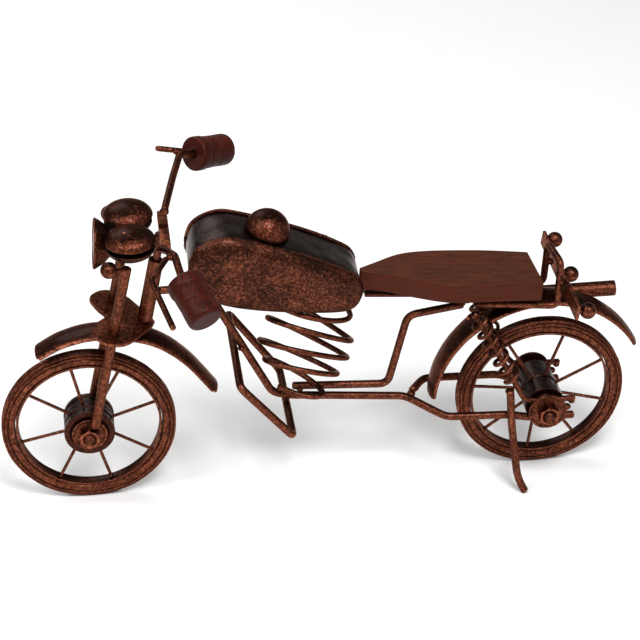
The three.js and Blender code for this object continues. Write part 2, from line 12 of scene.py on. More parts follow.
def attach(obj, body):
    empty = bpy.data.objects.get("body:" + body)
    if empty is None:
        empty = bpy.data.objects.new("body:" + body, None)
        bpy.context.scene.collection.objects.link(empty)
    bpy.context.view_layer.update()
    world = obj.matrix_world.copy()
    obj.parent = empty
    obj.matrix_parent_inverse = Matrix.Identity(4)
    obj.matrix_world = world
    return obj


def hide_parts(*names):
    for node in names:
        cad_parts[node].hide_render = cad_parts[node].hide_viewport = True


bl_info = {
    "name": "Iron Rod Motorcycle",
    "version": (1, 0, 0),
    "blender": (4, 5, 0),
    "location": "View3D > Sidebar > Rod Motorcycle",
    "description": "Builds a model motorcycle of welded iron rod with a wooden seat and grips",
    "category": "Add Mesh",
}

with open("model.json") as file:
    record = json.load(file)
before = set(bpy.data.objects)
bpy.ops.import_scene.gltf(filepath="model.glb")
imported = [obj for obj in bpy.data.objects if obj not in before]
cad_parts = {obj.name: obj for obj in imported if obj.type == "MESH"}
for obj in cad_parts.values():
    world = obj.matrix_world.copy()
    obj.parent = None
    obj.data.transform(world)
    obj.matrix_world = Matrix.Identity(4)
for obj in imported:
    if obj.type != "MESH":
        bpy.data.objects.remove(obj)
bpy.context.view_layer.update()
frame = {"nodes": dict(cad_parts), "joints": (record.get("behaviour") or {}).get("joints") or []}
MM = 0.001
WHEEL_RADIUS = 46.0
FRONT_AXLE = Vector((-123.3, 0, WHEEL_RADIUS))
REAR_AXLE = Vector((120.0, 0, WHEEL_RADIUS))
HEAD_FOOT = Vector((-91, 0, 108))
RAKE = math.radians(12)
HEAD_AXIS = Vector((math.sin(RAKE), 0, math.cos(RAKE)))
ACROSS = Vector((0, 1, 0))
UP = Vector((0, 0, 1))
SIDES = {"left": -1, "right": 1}


# ---- places: the machine leans onto its stand, so every point goes through one matrix ----
def machine_matrix():
    spin = next(joint for joint in frame["joints"] if joint["name"] == "rear_wheel_spin")
    lean = math.atan2(spin["axis"][2], spin["axis"][1])
    turn = Matrix.Rotation(lean, 4, "X")
    shift = Vector(spin["pos_m"]) - turn @ (REAR_AXLE * MM)
    return Matrix.Translation(shift) @ turn


MACHINE = machine_matrix()


def place(point):
    """A point of the machine, in millimetres, as a place in the scene."""
    return MACHINE @ (Vector(point) * MM)


def on_head(height, forward=0.0, side=0.0):
    ahead = Vector((-math.cos(RAKE), 0, math.sin(RAKE)))
    return HEAD_FOOT + HEAD_AXIS * height + ahead * forward + ACROSS * side


# ---- nodes ----
def linear(text):
    """An sRGB hex colour as linear values."""
    values = [int(text[i:i + 2], 16) / 255 for i in (1, 3, 5)]
    return [v / 12.92 if v <= 0.04045 else ((v + 0.055) / 1.055) ** 2.4 for v in values] + [1.0]


def add(tree, kind, settings=None, links=None, **attributes):
    """Adds a node: its properties, its sockets' values and its incoming links."""
    node = tree.nodes.new(kind)
    for key, value in attributes.items():
        setattr(node, key, value)
    for key, value in (settings or {}).items():
        node.inputs[key].default_value = value
    for key, socket in (links or {}).items():
        tree.links.new(socket, node.inputs[key])
    return node


def ramp(tree, source, low, high):
    """Maps low..high to 0..1 smoothly."""
    node = add(tree, "ShaderNodeMapRange", {"From Min": low, "From Max": high}, {"Value": source},
               interpolation_type="SMOOTHSTEP")
    return node.outputs["Result"]


def blend(tree, factor, first, second, mode="MIX"):
    """Blends two colours; each is a hex text, three linear values or a socket."""
    node = add(tree, "ShaderNodeMix", data_type="RGBA", blend_type=mode)
    if isinstance(factor, float):
        node.inputs[0].default_value = factor
    else:
        tree.links.new(factor, node.inputs[0])
    for index, value in ((6, first), (7, second)):
        if isinstance(value, bpy.types.NodeSocket):
            tree.links.new(value, node.inputs[index])
        else:
            node.inputs[index].default_value = linear(value) if isinstance(value, str) else (*value, 1.0)
    return node.outputs[2]


def maths(tree, operation, *values):
    node = add(tree, "ShaderNodeMath", operation=operation)
    for index, value in enumerate(values):
        if isinstance(value, (int, float)):
            node.inputs[index].default_value = value
        else:
            tree.links.new(value, node.inputs[index])
    return node.outputs[0]


def times(tree, first, second):
    return maths(tree, "MULTIPLY", first, second)


def plus(tree, first, second):
    return maths(tree, "ADD", first, second)


def minus(tree, first, second):
    return maths(tree, "SUBTRACT", first, second)


def speckle(tree, coords, size, detail=3.0, rough=0.6):
    """Noise whose blotches are about size millimetres across."""
    node = add(tree, "ShaderNodeTexNoise", {"Scale": 1 / (size * MM), "Detail": detail, "Roughness": rough},
               {"Vector": coords})
    return node.outputs["Fac"]


# How much copper shows: by where a face looks, which is partly the rubbed finish and partly painted light on
# the flanks and painted shade on the tops, and by how sharp its edges are.
FLANK_RUB_AND_LIGHT, TOP_RUB_AND_SHADE = 0.33, -0.05
RUB_AND_LIGHT_RANGE = (0.86, 1.20)
HOLLOW_RANGE = (0.44, 0.485)
EDGE_RANGE = (0.51, 0.58)
BLOTCH_SIZE, PIT_SIZE = 12, 0.7


def new_material(name):
    material = bpy.data.materials.new(name)
    material.use_nodes = True
    material.node_tree.nodes.clear()
    return material, material.node_tree


# Black stove enamel rubbed back so that antique copper shows, most on edges and none in hollows; the extra
# copper on flanks and the darker tops are partly the rubbing and partly painted light and shade.
# The eye sees near-black gloss broken by fine red-brown speckle, with thin bright copper along the edges.
def rubbed_copper(name, black, copper, bright, share, rubbed_size, gloss, glint):
    material, tree = new_material(name)
    coords = add(tree, "ShaderNodeTexCoord")
    place_at = coords.outputs["Object"]
    facing = add(tree, "ShaderNodeSeparateXYZ", links={"Vector": coords.outputs["Normal"]})
    # Partly rubbed finish, partly painted light and shade: side-facing faces get more copper, top faces get
    # less.
    flank = times(tree, maths(tree, "ABSOLUTE", facing.outputs["Y"]), FLANK_RUB_AND_LIGHT)
    top = times(tree, maths(tree, "MAXIMUM", facing.outputs["Z"], 0.0), TOP_RUB_AND_SHADE)
    blotch = times(tree, speckle(tree, place_at, BLOTCH_SIZE, 3, 0.6), 0.55)
    grains = times(tree, speckle(tree, place_at, rubbed_size, 4, 0.7), 1.25)
    # This sum is the rubbed finish plus the painted light and shade of the facing terms.
    rubbed = plus(tree, plus(tree, blotch, grains), plus(tree, flank, top))
    rubbed = ramp(tree, plus(tree, rubbed, share), *RUB_AND_LIGHT_RANGE)
    edge = add(tree, "ShaderNodeNewGeometry").outputs["Pointiness"]
    rubbed = times(tree, rubbed, ramp(tree, edge, *HOLLOW_RANGE))
    worn = ramp(tree, speckle(tree, place_at, 1.8), 0.36, 0.58)
    scuff = times(tree, ramp(tree, edge, *EDGE_RANGE), worn)
    pits = ramp(tree, speckle(tree, place_at, PIT_SIZE, 3, 0.6), 0.36, 0.50)
    tone = blend(tree, ramp(tree, speckle(tree, place_at, 1.6, 4, 0.7), 0.40, 0.70), copper, bright)
    shown = plus(tree, times(tree, pits, 0.82), 0.16)
    colour = blend(tree, times(tree, rubbed, shown), black, tone)
    colour = blend(tree, times(tree, scuff, 0.8), colour, bright)
    rough = plus(tree, times(tree, rubbed, 0.14), gloss)
    rough = plus(tree, rough, times(tree, speckle(tree, place_at, 2.2, 4, 0.7), 0.16))
    waves = times(tree, speckle(tree, place_at, 4.5, 2, 0.5), 0.8)
    fine = times(tree, speckle(tree, place_at, 1.1, 4, 0.7), 0.6)
    height = plus(tree, waves, fine)
    bump = add(tree, "ShaderNodeBump", {"Strength": 0.75, "Distance": 0.42 * MM}, {"Height": height})
    shader = add(tree, "ShaderNodeBsdfPrincipled",
                 {"Metallic": 0.9, "Specular Tint": linear(glint), "Coat Weight": 0.05,
                  "Coat Roughness": 0.14},
                 {"Base Color": colour, "Roughness": rough, "Normal": bump.outputs["Normal"]})
    add(tree, "ShaderNodeOutputMaterial", links={"Surface": shader.outputs[0]})
    return material


# Close-grained red-brown hardwood under thin satin lacquer: long soft streaks with short dark pores.
# Side and under faces are painted darker and more saturated than the top, as painted shade; along selects the
# way the grain runs.
def lacquered_wood(name, dark, main, second, flank_shade_colour, along, pore_colour):
    material, tree = new_material(name)
    coords = add(tree, "ShaderNodeTexCoord")
    stretch = add(tree, "ShaderNodeMapping", {"Scale": along}, {"Vector": coords.outputs["Object"]})
    grain_at = stretch.outputs["Vector"]
    bands = speckle(tree, grain_at, 9, 4, 0.6)
    streaks = speckle(tree, grain_at, 1.5, 5, 0.7)
    pores = ramp(tree, speckle(tree, grain_at, 0.5, 2, 0.5), 0.60, 0.70)
    colour = blend(tree, ramp(tree, bands, 0.36, 0.62), dark, second)
    colour = blend(tree, times(tree, ramp(tree, streaks, 0.40, 0.62), 0.7), colour, main)
    facing = add(tree, "ShaderNodeSeparateXYZ", links={"Vector": coords.outputs["Normal"]})
    # Painted shade: faces that do not look up are blended toward the darker, more saturated flank colour.
    flank = minus(tree, 1.0, ramp(tree, facing.outputs["Z"], 0.35, 0.85))
    colour = blend(tree, times(tree, flank, 0.6), colour, flank_shade_colour)
    colour = blend(tree, times(tree, pores, 0.55), colour, pore_colour)
    edge = add(tree, "ShaderNodeNewGeometry").outputs["Pointiness"]
    colour = blend(tree, times(tree, ramp(tree, edge, 0.52, 0.62), 0.35), colour, main)
    height = minus(tree, times(tree, streaks, 0.5), times(tree, pores, 0.8))
    bump = add(tree, "ShaderNodeBump", {"Strength": 0.5, "Distance": 0.2 * MM}, {"Height": height})
    rough = plus(tree, times(tree, bands, 0.12), 0.4)
    shader = add(tree, "ShaderNodeBsdfPrincipled", {"IOR": 1.5, "Specular IOR Level": 0.12},
                 {"Base Color": colour, "Roughness": rough, "Normal": bump.outputs["Normal"]})
    add(tree, "ShaderNodeOutputMaterial", links={"Surface": shader.outputs[0]})
    return material


# Matt pale paper sweep: even and without texture, so that only soft shadows read on it.
def pale_paper(name):
    material, tree = new_material(name)
    coords = add(tree, "ShaderNodeTexCoord")
    tone = blend(tree, speckle(tree, coords.outputs["Object"], 60), "#fcfcfb", "#f7f7f7")
    shader = add(tree, "ShaderNodeBsdfPrincipled", {"Roughness": 0.9, "Specular IOR Level": 0.1},
                 {"Base Color": tone})
    add(tree, "ShaderNodeOutputMaterial", links={"Surface": shader.outputs[0]})
    return material


FINISH = {}
# How much the grain is drawn out along each axis.
ALONG_SEAT, ALONG_GRIP = (0.09, 1.0, 1.0), (1.0, 0.25, 0.6)


def make_finishes(settings):
    """Every finish under a short name that the pieces ask for."""
    share = settings.copper_share
    enamel, worn = settings.enamel, settings.worn_copper
    FINISH["coppered_iron"] = rubbed_copper(
        "rubbed_copper_iron", enamel, settings.copper, worn, share - 0.05, 0.75, 0.23, "#e0bcae")
    FINISH["black_iron"] = rubbed_copper(
        "black_stove_enamel_iron", enamel, "#34170e", "#5c2a1b", share - 0.04, 1.1, 0.17, "#efe6e2")
    FINISH["speckled_copper"] = rubbed_copper(
        "speckled_copper_sheet", enamel, settings.tank_copper, worn, share - 0.17, 0.5, 0.27, "#e0bcae")
    # The fourth colour of each wood is painted shade on its side and under faces.
    FINISH["seat_wood"] = lacquered_wood(
        "red_brown_hardwood", "#32160a", settings.seat_wood, "#40190b", "#4d1a08", ALONG_SEAT, "#180904")
    FINISH["grip_wood"] = lacquered_wood(
        "dark_turned_hardwood", "#260904", settings.grip_wood, "#3c1006", "#380c04", ALONG_GRIP, "#140503")


# ---- meshes ----
def object_from(name, bm, finish, smooth=True):
    bmesh.ops.recalc_face_normals(bm, faces=bm.faces)
    mesh = bpy.data.meshes.new(name)
    bm.to_mesh(mesh)
    bm.free()
    for polygon in mesh.polygons:
        polygon.use_smooth = smooth
    thing = bpy.data.objects.new(name, mesh)
    bpy.context.scene.collection.objects.link(thing)
    mesh.materials.append(FINISH[finish])
    return thing


def settle(thing):
    """Bakes an object's modifiers into a plain mesh and removes them."""
    graph = bpy.context.evaluated_depsgraph_get()
    mesh = bpy.data.meshes.new_from_object(thing.evaluated_get(graph))
    if not mesh.polygons:
        raise RuntimeError(f"{thing.name} came out empty")
    thing.modifiers.clear()
    thing.data = mesh
    return thing


def settle_even(thing):
    thing.modifiers.new("Even shading", "WEIGHTED_NORMAL")
    return settle(thing)


def hand_over(thing, body, *nodes):
    """Gives a piece its body and hides the CAD nodes that it stands for."""
    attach(thing, body)
    if nodes:
        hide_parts(*nodes)
    return thing


def soften(thing, width, segments=2, angle=35):
    """Rounds the sharp edges and evens the shading."""
    bevel = thing.modifiers.new("Rounded edges", "BEVEL")
    bevel.width, bevel.segments = width * MM, segments
    bevel.limit_method, bevel.angle_limit = "ANGLE", math.radians(angle)
    thing.modifiers.new("Even shading", "WEIGHTED_NORMAL").keep_sharp = True
    return settle(thing)


def dented(point, amount, size, seed=0.0):
    """How far hand work pushes the surface in or out at a point, in millimetres."""
    return amount * noise.noise(Vector(point) / size + Vector((seed, 1.7 * seed, 0)))


def rounded_profile(corners, radius=0.5, steps=3):
    """Rounds each corner of a closed profile of (radius, along) pairs."""
    corners = [Vector(c) for c in corners]
    result = []
    for i, corner in enumerate(corners):
        before, after = corners[i - 1], corners[(i + 1) % len(corners)]
        if corner.x < 1e-6:
            result.append(corner)
            continue
        back, ahead = before - corner, after - corner
        reach = min(radius, back.length * 0.45, ahead.length * 0.45)
        first, last = corner + back.normalized() * reach, corner + ahead.normalized() * reach
        for k in range(steps + 1):
            t = k / steps
            result.append(first.lerp(corner, t).lerp(corner.lerp(last, t), t))
    return result


def turned(name, parts, finish, segments=96, wobble=0.05):
    """Turns closed profiles about axes. Each part is (profile, centre, axis, corner radius)."""
    bm = bmesh.new()
    for profile, centre, axis, radius in parts:
        points = rounded_profile(profile, radius)
        turn = UP.rotation_difference(Vector(axis))
        rings = []
        for point in points:
            if point.x < 1e-6:
                rings.append([bm.verts.new(place(Vector(centre) + turn @ Vector((0, 0, point.y))))])
                continue
            ring = []
            for i in range(segments):
                angle = math.tau * i / segments
                local = Vector((math.cos(angle), math.sin(angle), 0))
                r = point.x + dented(local * point.x + UP * point.y, wobble, 6, len(name))
                ring.append(bm.verts.new(place(Vector(centre) + turn @ (local * r + UP * point.y))))
            rings.append(ring)
        for first, second in zip(rings, rings[1:] + rings[:1]):
            if len(first) == 1 and len(second) == 1:
                continue
            for i in range(segments):
                j = (i + 1) % segments
                corners = [first[i % len(first)], first[j % len(first)],
                           second[j % len(second)], second[i % len(second)]]
                corners = list(dict.fromkeys(corners))
                if len(corners) > 2:
                    bm.faces.new(corners)
    return settle_even(object_from(name, bm, finish))


def ring(inner, outer, start, end):
    return [(inner, start), (outer, start), (outer, end), (inner, end)]


CHAMFER_IN, CHAMFER_DOWN = 0.75, 0.45


def nut_mesh(bm, centre, axis, across, start, end, bore):
    """A hexagon nut or bolt head whose corners are chamfered round, with a dimple when it isn't bored."""
    turn = UP.rotation_difference(Vector(axis))
    corner = across / math.sqrt(3)
    levels = [(start, corner - CHAMFER_IN), (start + CHAMFER_DOWN, corner), (end - CHAMFER_DOWN, corner),
              (end, corner - CHAMFER_IN)]
    count = 72

    def ring_at(level, limit, fixed=None):
        verts = []
        for i in range(count):
            angle = math.tau * i / count
            flat = (across / 2) / math.cos((angle + math.pi / 6) % (math.pi / 3) - math.pi / 6)
            r = fixed if fixed is not None else min(flat, limit)
            local = Vector((r * math.cos(angle), r * math.sin(angle), level))
            verts.append(bm.verts.new(place(Vector(centre) + turn @ local)))
        return verts

    rings = [ring_at(level, limit) for level, limit in levels]
    inner = max(bore, 0.4)
    rings += [ring_at(end, 0, inner + 0.4), ring_at(end - 0.4, 0, inner), ring_at(start, 0, inner)]
    for first, second in zip(rings, rings[1:] + rings[:1]):
        for i in range(count):
            j = (i + 1) % count
            bm.faces.new((first[i], first[j], second[j], second[i]))


def softened_copy(name, node, finish, width=0.5, segments=2):
    """A copy of a CAD node with its edges rounded off."""
    bm = bmesh.new()
    bm.from_mesh(frame["nodes"][node].data)
    bmesh.ops.remove_doubles(bm, verts=bm.verts, dist=1e-6)
    bmesh.ops.dissolve_limit(bm, angle_limit=math.radians(1), verts=bm.verts, edges=bm.edges)
    thing = object_from(name, bm, finish)
    return soften(thing, width, segments)


def strip(name, crest, half_widths, thickness, crown, finish, centre, rolls=9):
    """A crowned strip of sheet along a crest line, closed, with a slightly hand-worked surface."""
    bm = bmesh.new()
    rings = []
    count = len(crest)
    for k, point in enumerate(crest):
        along = (crest[min(k + 1, count - 1)] - crest[max(k - 1, 0)]).normalized()
        out = ACROSS.cross(along).normalized()
        if out.dot(point - centre) < 0:
            out = -out
        half = half_widths[k]
        top, under = [], []
        for i in range(rolls + 1):
            t = 2 * i / rolls - 1
            drop = crown * t * t * min(1.0, half / max(half_widths)) ** 2
            work = dented(point + ACROSS * t * half, 0.12, 7)
            lip = 0.25 * max(0.0, abs(t) - 0.8) / 0.2
            top.append(point + ACROSS * t * half - out * (drop + lip - work))
            under.append(point + ACROSS * t * (half - 0.15) - out * (drop + thickness - lip - work))
        rings.append([bm.verts.new(place(p)) for p in top + under[::-1]])
    for first, second in zip(rings, rings[1:]):
        for i in range(len(first)):
            j = (i + 1) % len(first)
            bm.faces.new((first[i], first[j], second[j], second[i]))
    for end in (rings[0], rings[-1]):
        n = len(end) // 2
        for i in range(n - 1):
            bm.faces.new((end[i], end[i + 1], end[-i - 2], end[-i - 1]))
    return settle_even(object_from(name, bm, finish))


# ---- paths ----
def bent(points, bend, steps=6):
    """A polyline whose corners are rounded, as rod bends over a former."""
    points = [Vector(p) for p in points]
    path = [points[0]]
    for before, corner, after in zip(points, points[1:], points[2:]):
        first = corner.lerp(before, bend / (corner - before).length)
        last = corner.lerp(after, bend / (corner - after).length)
        for k in range(steps + 1):
            t = k / steps
            path.append(first.lerp(corner, t).lerp(corner.lerp(last, t), t))
    return path + [points[-1]]


def catmull(points, steps=8, closed=False):
    points = [Vector(p) for p in points]
    count = len(points)
    result = []
    for i in range(count if closed else count - 1):
        if closed:
            a, b, c, d = (points[(i + k) % count] for k in (-1, 0, 1, 2))
        else:
            a, b, c, d = points[max(i - 1, 0)], points[i], points[i + 1], points[min(i + 2, count - 1)]
        for k in range(steps):
            t = k / steps
            result.append(0.5 * (2 * b + (c - a) * t + (2 * a - 5 * b + 4 * c - d) * t * t
                                 + (3 * b - a - 3 * c + d) * t ** 3))
    return result if closed else result + [points[-1]]


# ---- geometry nodes: rods along paths, and weld beads on points ----
def tree_with(name, inputs):
    tree = bpy.data.node_groups.new(name, "GeometryNodeTree")
    face = tree.interface
    face.new_socket("Geometry", in_out="OUTPUT", socket_type="NodeSocketGeometry")
    face.new_socket("Geometry", in_out="INPUT", socket_type="NodeSocketGeometry")
    for label, kind, default in inputs:
        socket = face.new_socket(label, in_out="INPUT", socket_type=kind)
        if default is not None:
            socket.default_value = default
    return tree, tree.nodes.new("NodeGroupInput"), tree.nodes.new("NodeGroupOutput")


def rod_tree():
    """Path edges to a round rod with filed ends and the slight unevenness of hot-rolled bar."""
    tree, start, end = tree_with("Bent rod", [
        ("Radius", "NodeSocketFloat", 0.002), ("Step", "NodeSocketFloat", 0.0006),
        ("Unevenness", "NodeSocketFloat", 0.00006), ("End rounding", "NodeSocketFloat", 0.0008),
        ("Material", "NodeSocketMaterial", None)])
    curve = add(tree, "GeometryNodeMeshToCurve", links={0: start.outputs["Geometry"]})
    dense = add(tree, "GeometryNodeResampleCurve",
                links={"Curve": curve.outputs[0], "Length": start.outputs["Step"]}, mode="LENGTH")
    along = add(tree, "GeometryNodeSplineParameter")
    whole = add(tree, "GeometryNodeSplineLength")
    rest = minus(tree, whole.outputs["Length"], along.outputs["Length"])
    near_end = maths(tree, "MINIMUM", along.outputs["Length"], rest)
    inset = maths(tree, "DIVIDE", near_end, start.outputs["End rounding"])
    inset = minus(tree, 1.0, maths(tree, "MINIMUM", inset, 1.0))
    round_off = maths(tree, "SQRT", minus(tree, 1.0, times(tree, inset, inset)))
    round_off = maths(tree, "MAXIMUM", round_off, 0.55)
    where = add(tree, "GeometryNodeInputPosition")
    rough = add(tree, "ShaderNodeTexNoise", {"Scale": 210.0, "Detail": 3.0}, {"Vector": where.outputs[0]})
    uneven = times(tree, minus(tree, rough.outputs["Fac"], 0.5), start.outputs["Unevenness"])
    radius = plus(tree, times(tree, start.outputs["Radius"], round_off), uneven)
    circle = add(tree, "GeometryNodeCurvePrimitiveCircle", {"Resolution": 20, "Radius": 1.0})
    swept = add(tree, "GeometryNodeCurveToMesh", {"Fill Caps": True},
                {"Curve": dense.outputs[0], "Profile Curve": circle.outputs[0], "Scale": radius})
    smooth = add(tree, "GeometryNodeSetShadeSmooth", links={0: swept.outputs[0]})
    real = add(tree, "GeometryNodeRealizeInstances", links={0: smooth.outputs[0]})
    coated = add(tree, "GeometryNodeSetMaterial",
                 links={"Geometry": real.outputs[0], "Material": start.outputs["Material"]})
    tree.links.new(coated.outputs[0], end.inputs[0])
    return tree


BEAD_FLATNESS = 0.78


def bead_tree():
    """A lumpy weld bead on every point, its size read from the point's bead attribute."""
    tree, start, end = tree_with("Weld beads", [
        ("Size", "NodeSocketFloat", 1.0), ("Lumpiness", "NodeSocketFloat", 0.0007),
        ("Fineness", "NodeSocketInt", 4), ("Material", "NodeSocketMaterial", None)])
    points = add(tree, "GeometryNodeMeshToPoints", links={"Mesh": start.outputs["Geometry"]})
    ball = add(tree, "GeometryNodeMeshIcoSphere", {"Radius": MM}, {"Subdivisions": start.outputs["Fineness"]})
    size = add(tree, "GeometryNodeInputNamedAttribute", {"Name": "bead"}, data_type="FLOAT")
    scaled = times(tree, size.outputs[0], start.outputs["Size"])
    flat = add(tree, "ShaderNodeCombineXYZ",
               links={"X": scaled, "Y": scaled, "Z": times(tree, scaled, BEAD_FLATNESS)})
    beads = add(tree, "GeometryNodeInstanceOnPoints",
                links={"Points": points.outputs[0], "Instance": ball.outputs[0], "Scale": flat.outputs[0]})
    real = add(tree, "GeometryNodeRealizeInstances", links={0: beads.outputs[0]})
    where = add(tree, "GeometryNodeInputPosition")
    rough = add(tree, "ShaderNodeTexNoise", {"Scale": 420.0, "Detail": 2.0}, {"Vector": where.outputs[0]})
    push = times(tree, minus(tree, rough.outputs["Fac"], 0.5), start.outputs["Lumpiness"])
    outward = add(tree, "GeometryNodeInputNormal")
    offset = add(tree, "ShaderNodeVectorMath", links={0: outward.outputs[0]}, operation="SCALE")
    tree.links.new(push, offset.inputs["Scale"])
    moved = add(tree, "GeometryNodeSetPosition",
                links={"Geometry": real.outputs[0], "Offset": offset.outputs[0]})
    smooth = add(tree, "GeometryNodeSetShadeSmooth", links={0: moved.outputs[0]})
    coated = add(tree, "GeometryNodeSetMaterial",
                 links={"Geometry": smooth.outputs[0], "Material": start.outputs["Material"]})
    tree.links.new(coated.outputs[0], end.inputs[0])
    return tree


TREES = {}


def grown(name, mesh, tree_name, inputs):
    """Runs a node tree on a mesh and returns the plain result."""
    if tree_name not in TREES:
        TREES[tree_name] = {"rod": rod_tree, "beads": bead_tree}[tree_name]()
    tree = TREES[tree_name]
    thing = bpy.data.objects.new(name, mesh)
    bpy.context.scene.collection.objects.link(thing)
    modifier = thing.modifiers.new("Grown", "NODES")
    modifier.node_group = tree
    for item in tree.interface.items_tree:
        if item.item_type == "SOCKET" and item.in_out == "INPUT" and item.name in inputs:
            modifier[item.identifier] = inputs[item.name]
    return settle(thing)


def rods(name, paths, diameter, finish, step=0.6, rounding=0.8, uneven=0.06):
    """One object of round rod along each path, in millimetres."""
    mesh = bpy.data.meshes.new(name + "_path")
    verts, edges = [], []
    for path in paths:
        edges += [(len(verts) + i, len(verts) + i + 1) for i in range(len(path) - 1)]
        verts += [place(p) for p in path]
    mesh.from_pydata(verts, edges, [])
    return grown(name, mesh, "rod", {
        "Radius": diameter / 2 * MM, "Step": step * MM, "Unevenness": uneven * MM,
        "End rounding": rounding * MM, "Material": FINISH[finish]})


def weld_beads(name, beads, finish, body, fineness=4):
    """Beads are (point, radius) in millimetres."""
    mesh = bpy.data.meshes.new(name + "_points")
    mesh.from_pydata([place(point) for point, _ in beads], [], [])
    sizes = mesh.attributes.new("bead", "FLOAT", "POINT")
    for i, (_, radius) in enumerate(beads):
        sizes.data[i].value = radius
    size = bpy.context.scene.rod_motorcycle.weld_size
    thing = grown(name, mesh, "beads", {"Size": size, "Fineness": fineness, "Material": FINISH[finish]})
    return hand_over(thing, body)


# ---- settings ----
class RodMotorcycleSettings(bpy.types.PropertyGroup):
    """The sizes and colours that a maker would change."""
    rod_diameter: FloatProperty(
        name="Frame rod", description="Diameter of the frame rod",
        default=0.0042, min=0.002, max=0.006, unit="LENGTH", subtype="DISTANCE", precision=4)
    coil_wire: FloatProperty(
        name="Coil wire", description="Diameter of the engine coil wire",
        default=0.003, min=0.0015, max=0.004, unit="LENGTH", subtype="DISTANCE", precision=4)
    spring_wire: FloatProperty(
        name="Spring wire", description="Diameter of the shock spring wire",
        default=0.0021, min=0.001, max=0.003, unit="LENGTH", subtype="DISTANCE", precision=4)
    spring_turns: IntProperty(
        name="Spring turns", description="Turns of each shock spring", default=7, min=4, max=10)
    weld_size: FloatProperty(
        name="Weld size", description="How big the weld beads are",
        default=1.0, min=0.3, max=1.3, subtype="FACTOR")
    copper_share: FloatProperty(
        name="Copper share", description="How much more copper shows through the enamel",
        default=0.0, min=-0.5, max=0.5, subtype="FACTOR")
    enamel: FloatVectorProperty(
        name="Enamel", description="Black enamel left in the hollows and on top faces",
        default=linear("#100706")[:3], min=0, max=1, subtype="COLOR")
    copper: FloatVectorProperty(
        name="Copper", description="Copper rubbed through on rod and strip",
        default=linear("#5a2a1a")[:3], min=0, max=1, subtype="COLOR")
    worn_copper: FloatVectorProperty(
        name="Worn copper", description="Bright copper on worn edges and grains",
        default=linear("#a05c42")[:3], min=0, max=1, subtype="COLOR")
    tank_copper: FloatVectorProperty(
        name="Tank copper", description="Copper speckle of the tank's side plates",
        default=linear("#4c2417")[:3], min=0, max=1, subtype="COLOR")
    seat_wood: FloatVectorProperty(
        name="Seat wood", description="Main colour of the seat board",
        default=linear("#52260f")[:3], min=0, max=1, subtype="COLOR")
    grip_wood: FloatVectorProperty(
        name="Grip wood", description="Main colour of the turned grips",
        default=linear("#531808")[:3], min=0, max=1, subtype="COLOR")


def settings():
    return bpy.context.scene.rod_motorcycle


# ---- wheels ----
# Closed profiles are (radius, distance along the axle).
TYRE_HALF = [(38.7, 2.7), (39.3, 3.3), (39.9, 3.5), (41.9, 3.55), (42.3, 2.75), (42.8, 2.75), (43.1, 3.5),
             (43.9, 3.45), (44.2, 2.55), (44.6, 2.55), (44.9, 3.05), (45.9, 2.2), (45.9, 1.2), (45.1, 0.6)]
TYRE_PROFILE = [(r, -y) for r, y in TYRE_HALF] + TYRE_HALF[::-1]
HOOP_INNER = 37.1
HOOP_PROFILE = [(HOOP_INNER, -3.2), (38.35, -3.2), (38.35, 3.2), (HOOP_INNER, 3.2), (37.4, 0)]
FRONT_HUB_HALF = [(3.4, 9), (5.6, 9), (5.9, 8.2), (9.9, 8.2), (10.2, 9), (13.3, 9), (13.4, 6.6), (12.6, 6.1),
                  (12.6, 3.1), (13.2, 2.5), (13.2, 1.4), (12.9, 1.1)]
FRONT_HUB = [(r, -y) for r, y in FRONT_HUB_HALF] + FRONT_HUB_HALF[::-1]
REAR_HUB = [(3.4, -15), (6.4, -15), (6.6, -14.2), (9.2, -14.2), (9.4, -15), (10.8, -15), (10.8, -8.2),
            (10.1, -7.7), (10.1, -2), (10.6, -1.5), (10.6, 1.5), (10.1, 2), (10.1, 14), (9.6, 15), (3.4, 15)]
WHEELS = (("front", FRONT_AXLE, FRONT_HUB, 13.4), ("rear", REAR_AXLE, REAR_HUB, 10.8))
SPOKE_WIRE = 1.75
SPOKES = {"front": (17, 62, 102, 145, 194, 242, 285, 329), "rear": (26, 72, 121, 171, 219, 263, 305, 346)}


class ROD_OT_wheels(bpy.types.Operator):
    """Heavy turned tyres, thin hoops with eight wire spokes, and turned hubs"""
    bl_idname = "rod_motorcycle.wheels"
    bl_label = "Wheels"

    def execute(self, context):
        for prefix, axle, hub, hub_radius in WHEELS:
            body = f"{prefix}_wheel"
            tyre_part = (TYRE_PROFILE, axle, ACROSS, 0.3)
            tyre = turned(f"{prefix}_tyre_ring", [tyre_part], "coppered_iron", 224, 0.12)
            hand_over(tyre, body, f"{prefix}_tyre")
            hoop_part = (HOOP_PROFILE, axle, ACROSS, 0.3)
            hoop = turned(f"{prefix}_hoop", [hoop_part], "coppered_iron", 160, 0.05)
            hand_over(hoop, body, f"{prefix}_spoked_rim")
            lines, beads = [], []
            for i, degrees in enumerate(SPOKES[prefix]):
                angle = math.radians(degrees)
                out = Vector((math.cos(angle), 0, math.sin(angle)))
                skew = ACROSS * (0.5 if i % 2 else -0.5)
                start, end = hub_radius - 1.2, HOOP_INNER + 0.3
                lines.append([axle + out * start + skew, axle + out * 25, axle + out * end - skew])
                beads.append((axle + out * (HOOP_INNER - 0.2) - skew, 1.15))
                beads.append((axle + out * (hub_radius - 0.2) + skew, 1.1))
            wires = rods(f"{prefix}_spokes", lines, SPOKE_WIRE, "coppered_iron", 0.8, 0.2, 0.05)
            hand_over(wires, body, f"{prefix}_spoked_rim")
            weld_beads(f"{prefix}_spoke_welds", beads, "coppered_iron", body)
            drum = turned(f"{prefix}_hub_drum", [(hub, axle, ACROSS, 0.4)], "black_iron", 96, 0.05)
            hand_over(drum, body, f"{prefix}_hub")
        return {"FINISHED"}


